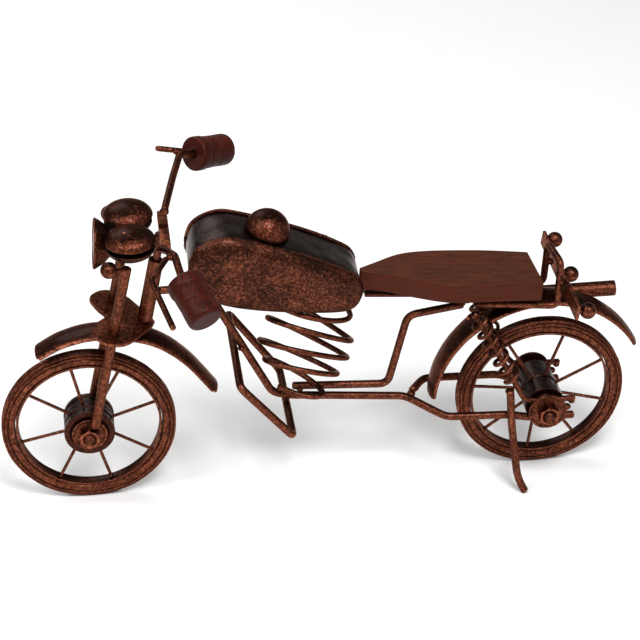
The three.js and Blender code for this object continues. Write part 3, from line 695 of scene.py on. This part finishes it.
# Each axle: its body, where its washers lie, their radius and how far the bolt reaches.
AXLES = (("front", FRONT_AXLE, "steering", 9.3, 9.3, 16.2), ("rear", REAR_AXLE, "frame", 20.4, 10.4, 30.0))
WASHER_THICKNESS, NUT_THICKNESS, NUT_ACROSS = 1.2, 4.6, 10
CREST, ROOT, PITCH, GROOVES = 2.95, 2.55, 0.42, 26


def shank_profile(end, seat):
    """A bolt's shank with a domed tip and ring grooves for its thread."""
    tip = -end + 0.5
    grooves = [(CREST if k % 2 else ROOT, tip + PITCH * k) for k in range(1, GROOVES)]
    domed = [(0, tip), (1.3, tip), (1.7, -end), (2.4, -end + 0.1)]
    return domed + grooves + [(CREST, seat + 1), (0, seat + 1)]


def washer_profile(radius, sign, distance):
    """A washer whose rim stands a little proud of its outer face."""
    low, lip = sign * distance, sign * (distance + WASHER_THICKNESS)
    step = lip - sign * 0.5
    face = [(3.3, step), (radius - 1.6, step), (radius - 1.1, lip), (radius, lip)]
    return [(3.3, low), *face, (radius, low)]


class ROD_OT_axles(bpy.types.Operator):
    """Bolts across both wheels with washers, hexagon heads and chamfered nuts"""
    bl_idname = "rod_motorcycle.axles"
    bl_label = "Axles"

    def execute(self, context):
        for prefix, axle, body, washer_y, washer_r, end in AXLES:
            seat = washer_y + 1.5
            shank = (shank_profile(end, seat), axle, ACROSS, 0.1)
            bolt = turned(f"{prefix}_bolt_shank", [shank], "coppered_iron", 48, 0.02)
            hand_over(bolt, body, f"{prefix}_axle_bolt")
            for label, start, stop, bore, node in (("bolt_head", seat, seat + NUT_THICKNESS, 0, "bolt"),
                                                   ("nut", -seat - NUT_THICKNESS, -seat, 3.1, "nut")):
                bm = bmesh.new()
                nut_mesh(bm, axle, ACROSS, NUT_ACROSS, start, stop, bore)
                nut = object_from(f"{prefix}_{label}", bm, "coppered_iron")
                hand_over(settle_even(nut), body, f"{prefix}_axle_{node}")
            for side, sign in SIDES.items():
                profile = washer_profile(washer_r, sign, washer_y)
                disc = turned(f"{prefix}_washer_disc_{side}", [(profile, axle, ACROSS, 0.25)],
                              "coppered_iron", 72, 0.06)
                hand_over(disc, body, f"{prefix}_washer_{side}")
        return {"FINISHED"}


# ---- steering ----
def fork_leg(sign):
    return Vector((-120.1, sign * 13.6, 53.4)), Vector((-98.7 if sign < 0 else -97.2, sign * 17.8, 150.9))


FRONT_FENDER = [(-148.2, 0, 94.8), (-135, 0, 101.9), (-119, 0, 105.6), (-101, 0, 104.3), (-84, 0, 98.2),
                (-69, 0, 85.4), (-54.5, 0, 65.4)]
FORK_BAR, PLATE_ON_FORK = 5.2, 52.6


class ROD_OT_steering(bpy.types.Operator):
    """Fork legs, the winged clamp plate, the stem and its tube, and the front fender"""
    bl_idname = "rod_motorcycle.steering"
    bl_label = "Fork and head"

    def execute(self, context):
        for side, sign in SIDES.items():
            low, high = fork_leg(sign)
            leg = rods(f"fork_bar_{side}", [[low, high]], FORK_BAR, "coppered_iron", 0.7, 0.9, 0.14)
            hand_over(leg, "steering", f"fork_leg_{side}")
        plate = softened_copy("winged_plate", "clamp_plate", "coppered_iron", 0.4)
        hand_over(plate, "steering", "clamp_plate")
        sleeve = (ring(2.6, 3.9, 0.8, 36.8), HEAD_FOOT, HEAD_AXIS, 0.4)
        tube = turned("head_sleeve", [sleeve], "coppered_iron", 64, 0.08)
        hand_over(tube, "frame", "head_tube")
        stem = rods("steering_pin", [[on_head(0.3), on_head(52.3)]], 4.2, "coppered_iron", 0.7)
        hand_over(stem, "steering", "steering_stem")
        post = rods("fender_peg", [[on_head(-3.6, 15.5), on_head(-1.9, 15.5)]], 4.2, "black_iron", 0.4, 0.4)
        hand_over(post, "steering", "fender_post")
        crest = catmull(FRONT_FENDER, 14)
        widths = end_rounded(crest, 8.6, 1.6, 3.2)
        fender = strip("front_fender_strip", crest, widths, 1.3, 1.8, "coppered_iron", FRONT_AXLE)
        hand_over(fender, "steering", "front_fender")
        beads = []
        for sign in SIDES.values():
            low, high = fork_leg(sign)
            axis = (high - low).normalized()
            beads.append((low + axis * 0.9, 2.9))
            meet = low + axis * PLATE_ON_FORK
            beads.append((meet + axis * 3 + Vector((2.4, sign * -1.4, 0)), 1.6))
            beads.append((meet + axis * 2.8 + Vector((-2.2, sign * 1.6, 0)), 1.5))
        weld_beads("fork_welds", beads, "coppered_iron", "steering")
        return {"FINISHED"}


BLUNT_END = 0.78


def end_rounded(crest, half, front, back):
    """Half widths along a crest line, whose corners are rounded over the first and last millimetres."""
    travelled = [0.0]
    for a, b in zip(crest, crest[1:]):
        travelled.append(travelled[-1] + (b - a).length)
    whole = travelled[-1]
    widths = []
    for s in travelled:
        first = math.sqrt(max(0.0, 1 - (1 - min(1.0, s / front)) ** 2))
        last = math.sqrt(max(0.0, 1 - (1 - min(1.0, (whole - s) / back)) ** 2))
        widths.append(half * max(BLUNT_END, first * last))
    return widths


def dome(radius, height, wall, steps=12):
    angles = [math.pi / 2 * i / steps for i in range(steps + 1)]
    turns = [(math.cos(a), math.sin(a)) for a in angles[:-1]]
    outer = [(radius * c, height * s) for c, s in turns] + [(0, height)]
    inner = [((radius - wall) * c, (height - wall) * s) for c, s in turns] + [(0, height - wall)]
    return outer + inner[::-1]


def ball_profile(radius, steps=16):
    angles = [math.pi * i / steps - math.pi / 2 for i in range(steps + 1)]
    points = [(radius * math.cos(a), radius * math.sin(a)) for a in angles]
    points[0], points[-1] = (0, -radius), (0, radius)
    return points


def cast_ball(name, centre):
    return turned(name, [(ball_profile(BALL_RADIUS), centre, UP, 0.1)], "coppered_iron", 48, 0.1)


BALL_RADIUS = 4.25
GAUGE_X, GAUGE_Y = -96.2, 13.4
SIGNALS = {"left": (-107.6, -27, 155.2), "right": (-105.4, 28.6, 156)}
LAMP_BACK = [(0, -9.8), (3.2, -9.4), (6.6, -8), (9.8, -5.2), (12, -2), (13, -0.4), (13, 0.6), (12, 0.6),
             (12, -0.6), (11, -1.8), (8.9, -4.6), (6, -7), (2.8, -8.3), (0, -8.7)]
LAMP_FACE = [(0, -1.2), (10.4, -1.2), (11.6, -0.4), (10.6, 0.1), (9, 0.0), (0, 0.9)]


class ROD_OT_lamp_and_gauges(bpy.types.Operator):
    """Two domed gauges over shallow dishes, the headlamp bowl and face, and the signal balls"""
    bl_idname = "rod_motorcycle.lamp_and_gauges"
    bl_label = "Lamp and gauges"

    def execute(self, context):
        beads = []
        for side, sign in SIDES.items():
            centre = Vector((GAUGE_X, sign * GAUGE_Y, 162.8))
            lid_part = (dome(12.8, 7.2, 1), centre, UP, 0.3)
            lid = turned(f"gauge_lid_{side}", [lid_part], "coppered_iron", 96, 0.12)
            hand_over(lid, "steering", f"gauge_dome_{side}")
            below = Vector((GAUGE_X, sign * GAUGE_Y, 159.8))
            pin = [(0, -7.0), (1.6, -7.0), (1.6, 7.8), (0, 7.8)]
            dish = turned(f"gauge_cup_{side}", [(dome(12.3, 6.2, 1), below, -UP, 0.3), (pin, below, UP, 0.3)],
                          "black_iron", 80, 0.1)
            hand_over(dish, "steering", f"gauge_dish_{side}")
            beads.append((centre + Vector((4, -sign * 11.6, -1.6)), 2.0))
            ball_at = Vector(SIGNALS[side])
            low, high = fork_leg(sign)
            on_leg = low.lerp(high, 0.98)
            ball = cast_ball(f"signal_ball_cast_{side}", ball_at)
            hand_over(ball, "steering", f"signal_ball_{side}")
            stalk_path = [ball_at, ball_at.lerp(on_leg, 0.86)]
            stalk = rods(f"signal_stalk_{side}", [stalk_path], 2.4, "coppered_iron", 0.5)
            hand_over(stalk, "steering", f"signal_ball_{side}")
            beads.append((ball_at.lerp(on_leg, 0.84), 2.1))
        aim = Matrix.Rotation(math.radians(-85), 3, "Y") @ UP
        lamp = Vector((-113.9, 0, 155.4))
        bowl = turned("lamp_bowl", [(LAMP_BACK, lamp, aim, 0.6)], "coppered_iron", 96, 0.1)
        hand_over(bowl, "steering", "headlamp_bowl")
        face = turned("lamp_face", [(LAMP_FACE, lamp, aim, 0.4)], "black_iron", 80, 0.04)
        hand_over(face, "steering", "headlamp_face")
        weld_beads("gauge_welds", beads, "coppered_iron", "steering")
        return {"FINISHED"}


BARS = {
    "left": {
        "arm": [(-81, -21.2, 161.8), (-79, -31, 166.4), (-76, -46, 172.2)],
        "inner": (-72.8, -60, 166.2), "along": (0.364, -0.818, -0.446),
        "lever": [(-79.8, -45, 170.6), (-88.3, -60, 167.6), (-79.8, -87, 156.8)],
    },
    "right": {
        "arm": [(-77.6, 17, 161.6), (-71.6, 40, 168), (-66.2, 56.5, 174.2)],
        "inner": (-59.2, 62.2, 169.8), "along": (0.755, 0.61, -0.24),
        "lever": [(-69.8, 57.2, 175.4), (-78.4, 60, 175.6), (-62, 75, 165)],
    },
}
GRIP = [(2.2, 0.2), (3.4, 0), (8.6, 0), (9.15, 0.7), (9.2, 3.0), (9.2, 5.0), (8.9, 5.9), (8.35, 6.3),
        (8.35, 6.9), (8.65, 7.4), (8.5, 12), (8.45, 13.6), (8.1, 14.0), (8.45, 14.4), (8.55, 19),
        (8.45, 22.4), (7.9, 23.6), (6.6, 24.2), (0, 24.2), (0, 8), (2.2, 8)]
BAR_ROD, LEVER_WIRE, BAR_BEND = 3.8, 3.0, 2.2


class ROD_OT_handlebar(bpy.types.Operator):
    """The flat yoke, two bent arms, two wire levers and the turned wooden grips"""
    bl_idname = "rod_motorcycle.handlebar"
    bl_label = "Handlebar"

    def execute(self, context):
        yoke = softened_copy("yoke_bar", "handlebar_yoke", "coppered_iron", 0.6, 3)
        hand_over(yoke, "steering", "handlebar_yoke")
        beads = []
        for side, bar in BARS.items():
            inner, along = Vector(bar["inner"]), Vector(bar["along"]).normalized()
            arm_path = bent([*bar["arm"], inner - along * 3, inner + along * 6], BAR_BEND)
            arm = rods(f"bar_arm_{side}", [arm_path], BAR_ROD, "coppered_iron")
            hand_over(arm, "steering", f"handlebar_arm_{side}")
            lever_path = bent(bar["lever"], BAR_BEND)
            lever = rods(f"wire_lever_{side}", [lever_path], LEVER_WIRE, "coppered_iron", 0.5)
            hand_over(lever, "steering", f"lever_{side}")
            grip = turned(f"wood_grip_{side}", [(GRIP, inner, along, 0.5)], "grip_wood", 96, 0.06)
            hand_over(grip, "steering", f"grip_{side}")
            beads.append((Vector(bar["arm"][0]), 2.5))
            beads.append((Vector(bar["lever"][0]).lerp(Vector(bar["arm"][2]), 0.5), 2.3))
        beads.append((on_head(50.4, 0.4), 2.9))
        weld_beads("handlebar_welds", beads, "coppered_iron", "steering")
        return {"FINISHED"}


# ---- frame ----
CHAIN_LEFT = [(66, -15.6, 43.8), (99, -17.5, 43.6), (113, -17.7, 40.6), (135.4, -17.7, 40.6)]
MAIN_ROD = [(-82.8, 0, 125.4), (-59.2, 0, 125.2), (-25.6, 0, 57.4), (-17, 0, 54.8), (46, 0, 48.6),
            *CHAIN_LEFT]
CHAIN_RIGHT = [(50.5, 4.6, 48.2), (59, 15.4, 48.6), (101, 17.5, 46), (113, 17.7, 40.8), (135.4, 17.7, 40.6)]
SEAT_ROD = [(-14.5, 4.3, 57.6), (36.4, 0, 57.4), (46.4, 0, 99.8), (76, 0, 104.2)]
FOOT_GUARD = [(-18.2, 0.15, 50.2), (-18.2, 31.5, 50.2), (-45.4, 36.4, 86.4), (-45.4, -36.4, 86.4),
              (-18.2, -31.5, 50.2), (-18.2, -0.15, 50.2)]
RAIL_HOOP = [(80, -11.6, 110.6), (92, -11.4, 110), (123.2, -11.4, 106.6), (123.6, -11.8, 132.6),
             (121.4, 8.5, 133), (121.2, 11.6, 107.2), (92, 11.4, 110), (80, 11.6, 110.6)]
STAND = [(98.6, -22, 62), (100.2, -22.2, 42), (103.4, -29.8, 10.5), (107.8, -31.7, 1.9)]


FRAME_BEADS = [((-84.4, 0, 125.4), 2.9), ((-10.5, 2.4, 56.6), 1.9), ((-41.6, 2.2, 88.2), 1.8),
               ((-41.8, -2.2, 88.0), 1.8), ((49.8, 2.0, 48.2), 2.3), ((53, 6.4, 48.4), 1.9),
               ((75.2, 0.6, 104.6), 2.1), ((81, -11.5, 110.4), 1.9), ((98.9, -19.9, 60.2), 2.4),
               ((99.9, -20.2, 44.4), 2.2), ((101.2, -19.8, 42.8), 1.8)]


class ROD_OT_frame_rods(bpy.types.Operator):
    """The bent frame rods, foot guard, seat rails and side stand, with their weld beads"""
    bl_idname = "rod_motorcycle.frame_rods"
    bl_label = "Frame rods"

    def execute(self, context):
        wide = settings().rod_diameter / MM
        for name, node, points, bend, diameter in (
                ("frame_rod", "main_frame_rod", MAIN_ROD, 4, wide),
                ("chain_stay_rod", "chain_stay_right", CHAIN_RIGHT, 4, wide),
                ("seat_support_rod", "seat_rod", SEAT_ROD, 5, wide),
                ("foot_guard_rod", "foot_guard", FOOT_GUARD, 4, wide),
                ("seat_rail_rod", "seat_rail_hoop", RAIL_HOOP, 4, wide - 0.4),
                ("stand_rod", "side_stand", STAND, 6, wide)):
            piece = rods(name, [bent(points, bend)], diameter, "coppered_iron")
            hand_over(piece, "frame", node)
        bar = softened_copy("under_seat_strip", "seat_strip", "black_iron", 0.3)
        hand_over(bar, "frame", "seat_strip")
        weld_beads("frame_welds", FRAME_BEADS, "coppered_iron", "frame")
        return {"FINISHED"}


# ---- tank ----
# The side outline in x and z, and the line that its middle shrinks to.
TANK_OUTLINE = [(-67.4, 147), (-63, 156.4), (-52, 161.2), (-40, 159.4), (-11.5, 149.3), (9.5, 139.2),
                (18.2, 132.4), (18.8, 122.4), (10.6, 115.4), (-18, 117.1), (-45, 122), (-59.4, 128.6),
                (-66.4, 138)]
TANK_CORE = (Vector((-45, 0, 142)), Vector((2, 0, 127.5)))
TANK_MIDDLE = Vector((-24, 0, 138))
BAND_HALF, BAND_THICKNESS, BAND_STEPS = 14.2, 1.5, 24
PLATE_FROM = 14.5
# The pressed plate from its rim inwards: distance in from the rim, and height above its edge.
PLATE_LEVELS = [(0.0, 0.0), (0.0, 0.7), (0.5, 1.7), (1.4, 2.7), (2.8, 3.7), (4.6, 4.45), (7, 5.0),
                (10, 5.3), (14, 5.45)]
PLATE_CROWN = 5.5


def tank_loop(grow, count=180):
    """The tank's side outline, evenly spaced and grown outwards by some millimetres."""
    dense = catmull([(x, 0, z) for x, z in TANK_OUTLINE], 24, True)
    lengths = [0.0]
    for a, b in zip(dense, dense[1:] + dense[:1]):
        lengths.append(lengths[-1] + (b - a).length)
    points, k = [], 0
    for i in range(count):
        target = lengths[-1] * i / count
        while lengths[k + 1] < target:
            k += 1
        t = (target - lengths[k]) / max(lengths[k + 1] - lengths[k], 1e-9)
        points.append(dense[k].lerp(dense[(k + 1) % len(dense)], t))
    moved = []
    for i, p in enumerate(points):
        along = (points[(i + 1) % count] - points[i - 1]).normalized()
        out = along.cross(ACROSS)
        if out.dot(p - TANK_MIDDLE) < 0:
            out = -out
        moved.append(p + out * grow)
    return moved


def toward_core(p):
    start, end = TANK_CORE
    t = max(0.0, min(1.0, (p - start).dot(end - start) / (end - start).length_squared))
    return start.lerp(end, t)


def loops_to_faces(bm, loops):
    for first, second in zip(loops, loops[1:]):
        count = len(first)
        for i in range(count):
            j = (i + 1) % count
            bm.faces.new((first[i], first[j], second[j], second[i]))


def plate_swell(p):
    """The slight hammered unevenness of the plate."""
    return dented(p, 0.16, 5, 3) + dented(p, 0.2, 13, 8)


def pressed_plate(name, sign):
    """A pillowed side plate whose rim is rolled over the band."""
    rim = tank_loop(0.75)
    last_inset = PLATE_LEVELS[-1][0]
    bm = bmesh.new()

    def vert(p, height):
        return bm.verts.new(place(p + ACROSS * sign * (PLATE_FROM + height)))

    loops = [[vert(p + (toward_core(p) - p).normalized() * 2, 0) for p in rim]]
    for inset, height in PLATE_LEVELS:
        verts = []
        for p in rim:
            inward = toward_core(p) - p
            q = p + inward.normalized() * min(inset, inward.length * 0.9)
            verts.append(vert(q, height + (plate_swell(q) if height > 2 else 0)))
        loops.append(verts)
    for share in (0.3, 0.7, 1.0):
        verts = []
        for p in rim:
            core = toward_core(p)
            start = p + (core - p).normalized() * min(last_inset, (core - p).length * 0.9)
            q = start.lerp(core, share)
            verts.append(vert(q, PLATE_CROWN + plate_swell(q)))
        loops.append(verts)
    loops_to_faces(bm, loops)
    bm.faces.new(loops[0])
    bmesh.ops.remove_doubles(bm, verts=loops[-1], dist=2e-5)
    bmesh.ops.holes_fill(bm, edges=[e for e in bm.edges if e.is_boundary], sides=0)
    return object_from(name, bm, "speckled_copper")


def wrapped_band():
    """The sheet wrapped round the tank between its plates, a little crowned and dented."""
    section = []
    for i in range(BAND_STEPS + 1):
        t = 2 * i / BAND_STEPS - 1
        section.append((t * BAND_HALF, -0.5 + 0.9 * (1 - abs(t) ** 6)))
    section += [(y, height - BAND_THICKNESS) for y, height in section[::-1]]
    loops = {height: tank_loop(height) for height in {round(h, 4) for _, h in section}}
    bm = bmesh.new()
    rings = []
    for y, height in section:
        verts = []
        for p in loops[round(height, 4)]:
            out = (p - toward_core(p)).normalized()
            work = dented((p.x, y, p.z), 0.5, 9, 5) * (1 - abs(y / BAND_HALF) ** 8)
            verts.append(bm.verts.new(place(p + ACROSS * y + out * (work - 0.15))))
        rings.append(verts)
    loops_to_faces(bm, rings + rings[:1])
    return object_from("tank_wrap", bm, "black_iron")


def seam_beads():
    """Small irregular weld beads along the seam between band and plate, with gaps."""
    beads = []
    for sign in SIDES.values():
        for p in tank_loop(0.1, 150):
            wander = dented(p, 1.0, 4, sign)
            if wander > -0.25:
                beads.append((p + ACROSS * sign * (14.1 + 0.5 * wander), 0.95 + 0.5 * wander))
    return beads


class ROD_OT_tank(bpy.types.Operator):
    """The wrapped tank band, its two pressed side plates and the domed filler cap"""
    bl_idname = "rod_motorcycle.tank"
    bl_label = "Tank"

    def execute(self, context):
        hand_over(settle_even(wrapped_band()), "frame", "tank_band")
        for side, sign in SIDES.items():
            plate = pressed_plate(f"tank_plate_{side}", sign)
            hand_over(settle_even(plate), "frame", f"tank_side_{side}")
        weld_beads("tank_seam_welds", seam_beads(), "black_iron", "frame", 3)
        tilt = Matrix.Rotation(math.radians(20), 3, "Y") @ UP
        steps = 14
        cap_profile = [(0, 0), (11.6, 0)] + dome(11.7, 12, 1, steps)[1:steps + 1]
        cap_part = (cap_profile, Vector((-27.1, 0, 155.9)), tilt, 0.2)
        cap = turned("filler_dome", [cap_part], "coppered_iron", 96, 0.1)
        hand_over(cap, "frame", "tank_cap")
        return {"FINISHED"}


# ---- engine coil ----
# Each end of a half turn: its place, how far the wire swings to the side there, and how steeply it tilts.
COIL_ENDS = [
    (2, 0, 126, 10, 0), (15.8, 0, 103, 14, 0.1), (-24, 0, 115, 15, 0.15), (16.5, 0, 86.8, 15, 0.47),
    (-27.4, 0, 104.4, 15, 0.47), (14.4, 0, 76.3, 15, 0.47), (-31.8, 0, 91, 15, 0.47),
    (9.1, 0, 66.5, 13.5, 0.47), (-29.4, 0, 78.8, 12, 0.4), (0.6, -5.6, 58.6, 8, 0), (-24.2, 0, 64.8, 8, 0),
]
# Name, CAD node, and the half turns between which each length of wire runs.
COIL_LENGTHS = (("coil_top", "engine_coil_upper", 0.56, 4.985),
                ("coil_foot", "engine_coil_lower", 5.015, 9.84))


def coil_point(half_turn):
    """The wire swings round the far side on its way to the rear and round the near side on its way back."""
    index = min(int(half_turn), len(COIL_ENDS) - 2)
    (x0, y0, z0, d0, t0), (x1, y1, z1, d1, t1) = COIL_ENDS[index], COIL_ENDS[index + 1]
    along = half_turn - index
    swing = (1 - math.cos(math.pi * along)) / 2
    side = 1 if index % 2 == 0 else -1
    bulge = side * (d0 + (d1 - d0) * along) * math.sin(math.pi * along)
    lift = -bulge * (t0 + (t1 - t0) * along)
    return Vector((x0 + (x1 - x0) * swing, y0 + (y1 - y0) * swing + bulge, z0 + (z1 - z0) * swing + lift))


class ROD_OT_coil(bpy.types.Operator):
    """The engine: one oval coil of wire under the tank, in two lengths"""
    bl_idname = "rod_motorcycle.coil"
    bl_label = "Engine coil"

    def execute(self, context):
        for name, node, start, end in COIL_LENGTHS:
            steps = round((end - start) * 28)
            path = [coil_point(start + (end - start) * i / steps) for i in range(steps + 1)]
            wire = rods(name, [path], settings().coil_wire / MM, "coppered_iron", 0.6, 0.7, 0.08)
            hand_over(wire, "frame", node)
        beads = [(coil_point(0.57) + Vector((0, 0, 1)), 1.9), (coil_point(9.8) - UP, 1.8)]
        weld_beads("coil_welds", beads, "coppered_iron", "frame")
        return {"FINISHED"}


# ---- seat ----
SEAT_LEFT_EDGE = [(0, 0.6), (14, -3), (22, -6.8), (31, -10.8), (40, -14.2), (50, -16), (72, -15.8),
                  (93.4, -15.8)]
SEAT_RIGHT_EDGE = [(91.8, 15.8), (70, 18.8), (54, 19.8), (40, 20), (29, 19), (20, 16.2), (8, 9), (0, 4.2)]


SEAT_THICKNESS = 11.5


class ROD_OT_seat(bpy.types.Operator):
    """The sawn wooden seat board with its edges sanded round"""
    bl_idname = "rod_motorcycle.seat"
    bl_label = "Seat board"

    def execute(self, context):
        left = catmull([(x, y, 0) for x, y in SEAT_LEFT_EDGE], 6)
        right = catmull([(x, y, 0) for x, y in SEAT_RIGHT_EDGE], 6)
        turn = Matrix.Rotation(math.radians(2.6), 3, "Y")
        nose = Vector((21, 0, 128.5))
        bm = bmesh.new()
        top = [bm.verts.new(place(nose + turn @ p)) for p in left + right]
        bottom = [bm.verts.new(place(nose + turn @ (p - UP * SEAT_THICKNESS))) for p in left + right]
        bm.faces.new(top)
        bm.faces.new(bottom[::-1])
        for i in range(len(top)):
            j = (i + 1) % len(top)
            bm.faces.new((top[j], top[i], bottom[i], bottom[j]))
        board = object_from("seat_plank", bm, "seat_wood")
        hand_over(soften(board, 0.9, 4, 50), "frame", "seat_board")
        return {"FINISHED"}


# ---- rear end ----
def rear_crest(t):
    angle = math.radians(176.4 - 145.6 * t)
    radius = 61.6 - 2.6 * max(0.0, (t - 0.6) / 0.4) ** 1.2
    return REAR_AXLE + Vector((radius * math.cos(angle), 0, radius * math.sin(angle)))


class ROD_OT_rear_fender(bpy.types.Operator):
    """The curved rear fender strip, cut off blunt at both ends"""
    bl_idname = "rod_motorcycle.rear_fender"
    bl_label = "Rear fender"

    def execute(self, context):
        crest = [rear_crest(i / 110) for i in range(111)]
        widths = end_rounded(crest, 8.9, 1.2, 1.0)
        piece = strip("rear_fender_strip", crest, widths, 1.4, 1.6, "coppered_iron", REAR_AXLE, 11)
        hand_over(piece, "frame", "rear_fender")
        return {"FINISHED"}


SPRING_RADIUS, SPRING_LENGTH = 4.3, 46.5


class ROD_OT_shocks(bpy.types.Operator):
    """Shock rods with a coil spring wound round each"""
    bl_idname = "rod_motorcycle.shocks"
    bl_label = "Shocks"

    def execute(self, context):
        beads = []
        for side, sign in SIDES.items():
            points = [Vector((78.2, sign * 18.2, 109.4)), Vector((107.4, sign * 17.9, 53.4)),
                      Vector((112.4, sign * 17.7, 51.4)), Vector((135.4, sign * 17.7, 51.4))]
            bar = rods(f"shock_bar_{side}", [bent(points, 2.4)], 3.2, "coppered_iron")
            hand_over(bar, "frame", f"shock_rod_{side}")
            along = (points[1] - points[0]).normalized()
            across = ACROSS.cross(along).normalized()
            beside = along.cross(across)
            turns = settings().spring_turns
            steps = turns * 26
            helix = []
            for i in range(steps + 1):
                t = i / steps
                angle = t * turns * math.tau
                spoke = across * SPRING_RADIUS * math.cos(angle) + beside * SPRING_RADIUS * math.sin(angle)
                helix.append(points[0] + along * (1 + SPRING_LENGTH * t) + spoke)
            wire = settings().spring_wire / MM
            spring = rods(f"shock_coil_{side}", [helix], wire, "coppered_iron", 0.45, 0.4, 0.05)
            hand_over(spring, "frame", f"shock_spring_{side}")
            beads += [(points[0] + along * 0.8, 2.6), (points[0] + along * 49, 2.4),
                      (Vector((131, sign * 17.7, 46)), 2.3), (Vector((133.6, sign * 17.7, 49.6)), 1.8)]
        weld_beads("shock_welds", beads, "coppered_iron", "frame")
        return {"FINISHED"}


class ROD_OT_tail(bpy.types.Operator):
    """The tail bar with its three balls, and the exhaust pipe"""
    bl_idname = "rod_motorcycle.tail"
    bl_label = "Tail"

    def execute(self, context):
        bar = softened_copy("tail_cross_strip", "tail_bar", "coppered_iron", 0.45, 3)
        hand_over(bar, "frame", "tail_bar")
        beads = [(Vector((124.6, -11.4, 121)), 2.2), (Vector((123.4, 9.6, 121)), 2.2)]
        for side, y in (("left", -36.4), ("middle", 0), ("right", 36.4)):
            centre = Vector((132.6, y, 118.2))
            ball = cast_ball(f"tail_ball_cast_{side}", centre)
            hand_over(ball, "frame", f"tail_ball_{side}")
            beads.append((centre - Vector((3.6, 0, -0.2)), 1.9))
        tube = (ring(3.2, 4.15, 0, 60.4), Vector((101.5, 15.6, 98)), (1, 0, 0), 0.35)
        pipe = turned("exhaust_tube", [tube], "coppered_iron", 64, 0.08)
        hand_over(pipe, "frame", "exhaust_pipe")
        weld_beads("tail_welds", beads, "coppered_iron", "frame")
        return {"FINISHED"}


# ---- stage ----
# Name, place in metres, side of the square and power in watts.
SOFT_BOXES = (("key_box", (0.15, -0.75, 1.3), 0.5, 16), ("side_box", (-1.0, -0.5, 1.25), 0.6, 9),
              ("back_box", (-0.5, 1.1, 1.2), 0.8, 8))
LIGHT_AIM = Vector((0, 0, 0.05))
ROOM_LIGHT = 0.36
CAMERA_AZIMUTH, CAMERA_RISE = -7.492, 32.409
CAMERA_LENS, CAMERA_DISTANCE = 108.17, 1003.0
CAMERA_TARGET = Vector((0, 0, 100.65))


class ROD_OT_stage(bpy.types.Operator):
    """Pale floor, soft studio light and the camera"""
    bl_idname = "rod_motorcycle.stage"
    bl_label = "Stage"

    def execute(self, context):
        bm = bmesh.new()
        bmesh.ops.create_grid(bm, x_segments=4, y_segments=4, size=6)
        FINISH["paper"] = pale_paper("pale_matt_paper")
        floor = object_from("studio_floor", bm, "paper", False)
        for name, where, size, power in SOFT_BOXES:
            data = bpy.data.lights.new(name, "AREA")
            data.shape, data.size, data.energy = "SQUARE", size, power
            lamp = bpy.data.objects.new(name, data)
            lamp.location = where
            lamp.rotation_euler = (LIGHT_AIM - Vector(where)).to_track_quat("-Z", "Y").to_euler()
            context.scene.collection.objects.link(lamp)
        world = bpy.data.worlds.new("Bright room")
        world.use_nodes = True
        world.node_tree.nodes["Background"].inputs["Color"].default_value = (1, 1, 1, 1)
        world.node_tree.nodes["Background"].inputs["Strength"].default_value = ROOM_LIGHT
        context.scene.world = world
        context.scene.view_settings.view_transform = "Standard"
        azimuth, rise = math.radians(CAMERA_AZIMUTH), math.radians(CAMERA_RISE)
        level = math.cos(rise)
        back = Vector((math.sin(azimuth) * level, -math.cos(azimuth) * level, math.sin(rise)))
        right = Vector((math.cos(azimuth), math.sin(azimuth), 0))
        above = back.cross(right)
        turn = Matrix((right, above, back)).transposed().to_4x4()
        camera = bpy.data.objects.new("camera", bpy.data.cameras.new("camera"))
        camera.data.sensor_width, camera.data.lens = 36.0, CAMERA_LENS
        camera.data.clip_start, camera.data.clip_end = 0.05, 20
        stands = Matrix.Translation(place(CAMERA_TARGET + back * CAMERA_DISTANCE))
        camera.matrix_world = stands @ MACHINE.to_3x3().to_4x4() @ turn
        context.scene.collection.objects.link(camera)
        context.scene.camera = camera
        return {"FINISHED"}


class ROD_PT_panel(bpy.types.Panel):
    """Lists the settings and the pieces in building order"""
    bl_idname = "ROD_PT_panel"
    bl_label = "Rod Motorcycle"
    bl_space_type = "VIEW_3D"
    bl_region_type = "UI"
    bl_category = "Rod Motorcycle"

    def draw(self, context):
        for name in RodMotorcycleSettings.__annotations__:
            self.layout.prop(context.scene.rod_motorcycle, name)
        for operator in OPERATORS:
            self.layout.operator(operator.bl_idname)


OPERATORS = (ROD_OT_stage, ROD_OT_wheels, ROD_OT_axles, ROD_OT_steering, ROD_OT_lamp_and_gauges,
             ROD_OT_handlebar, ROD_OT_frame_rods, ROD_OT_tank, ROD_OT_coil, ROD_OT_seat, ROD_OT_rear_fender,
             ROD_OT_shocks, ROD_OT_tail)


def register():
    bpy.utils.register_class(RodMotorcycleSettings)
    bpy.types.Scene.rod_motorcycle = PointerProperty(type=RodMotorcycleSettings)
    for kind in (*OPERATORS, ROD_PT_panel):
        bpy.utils.register_class(kind)


def unregister():
    for kind in (*OPERATORS, ROD_PT_panel):
        bpy.utils.unregister_class(kind)
    del bpy.types.Scene.rod_motorcycle
    bpy.utils.unregister_class(RodMotorcycleSettings)


def main():
    register()
    make_finishes(settings())
    for operator in OPERATORS:
        getattr(bpy.ops.rod_motorcycle, operator.bl_idname.split(".")[1])()
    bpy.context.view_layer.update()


if __name__ == "__main__":
    main()
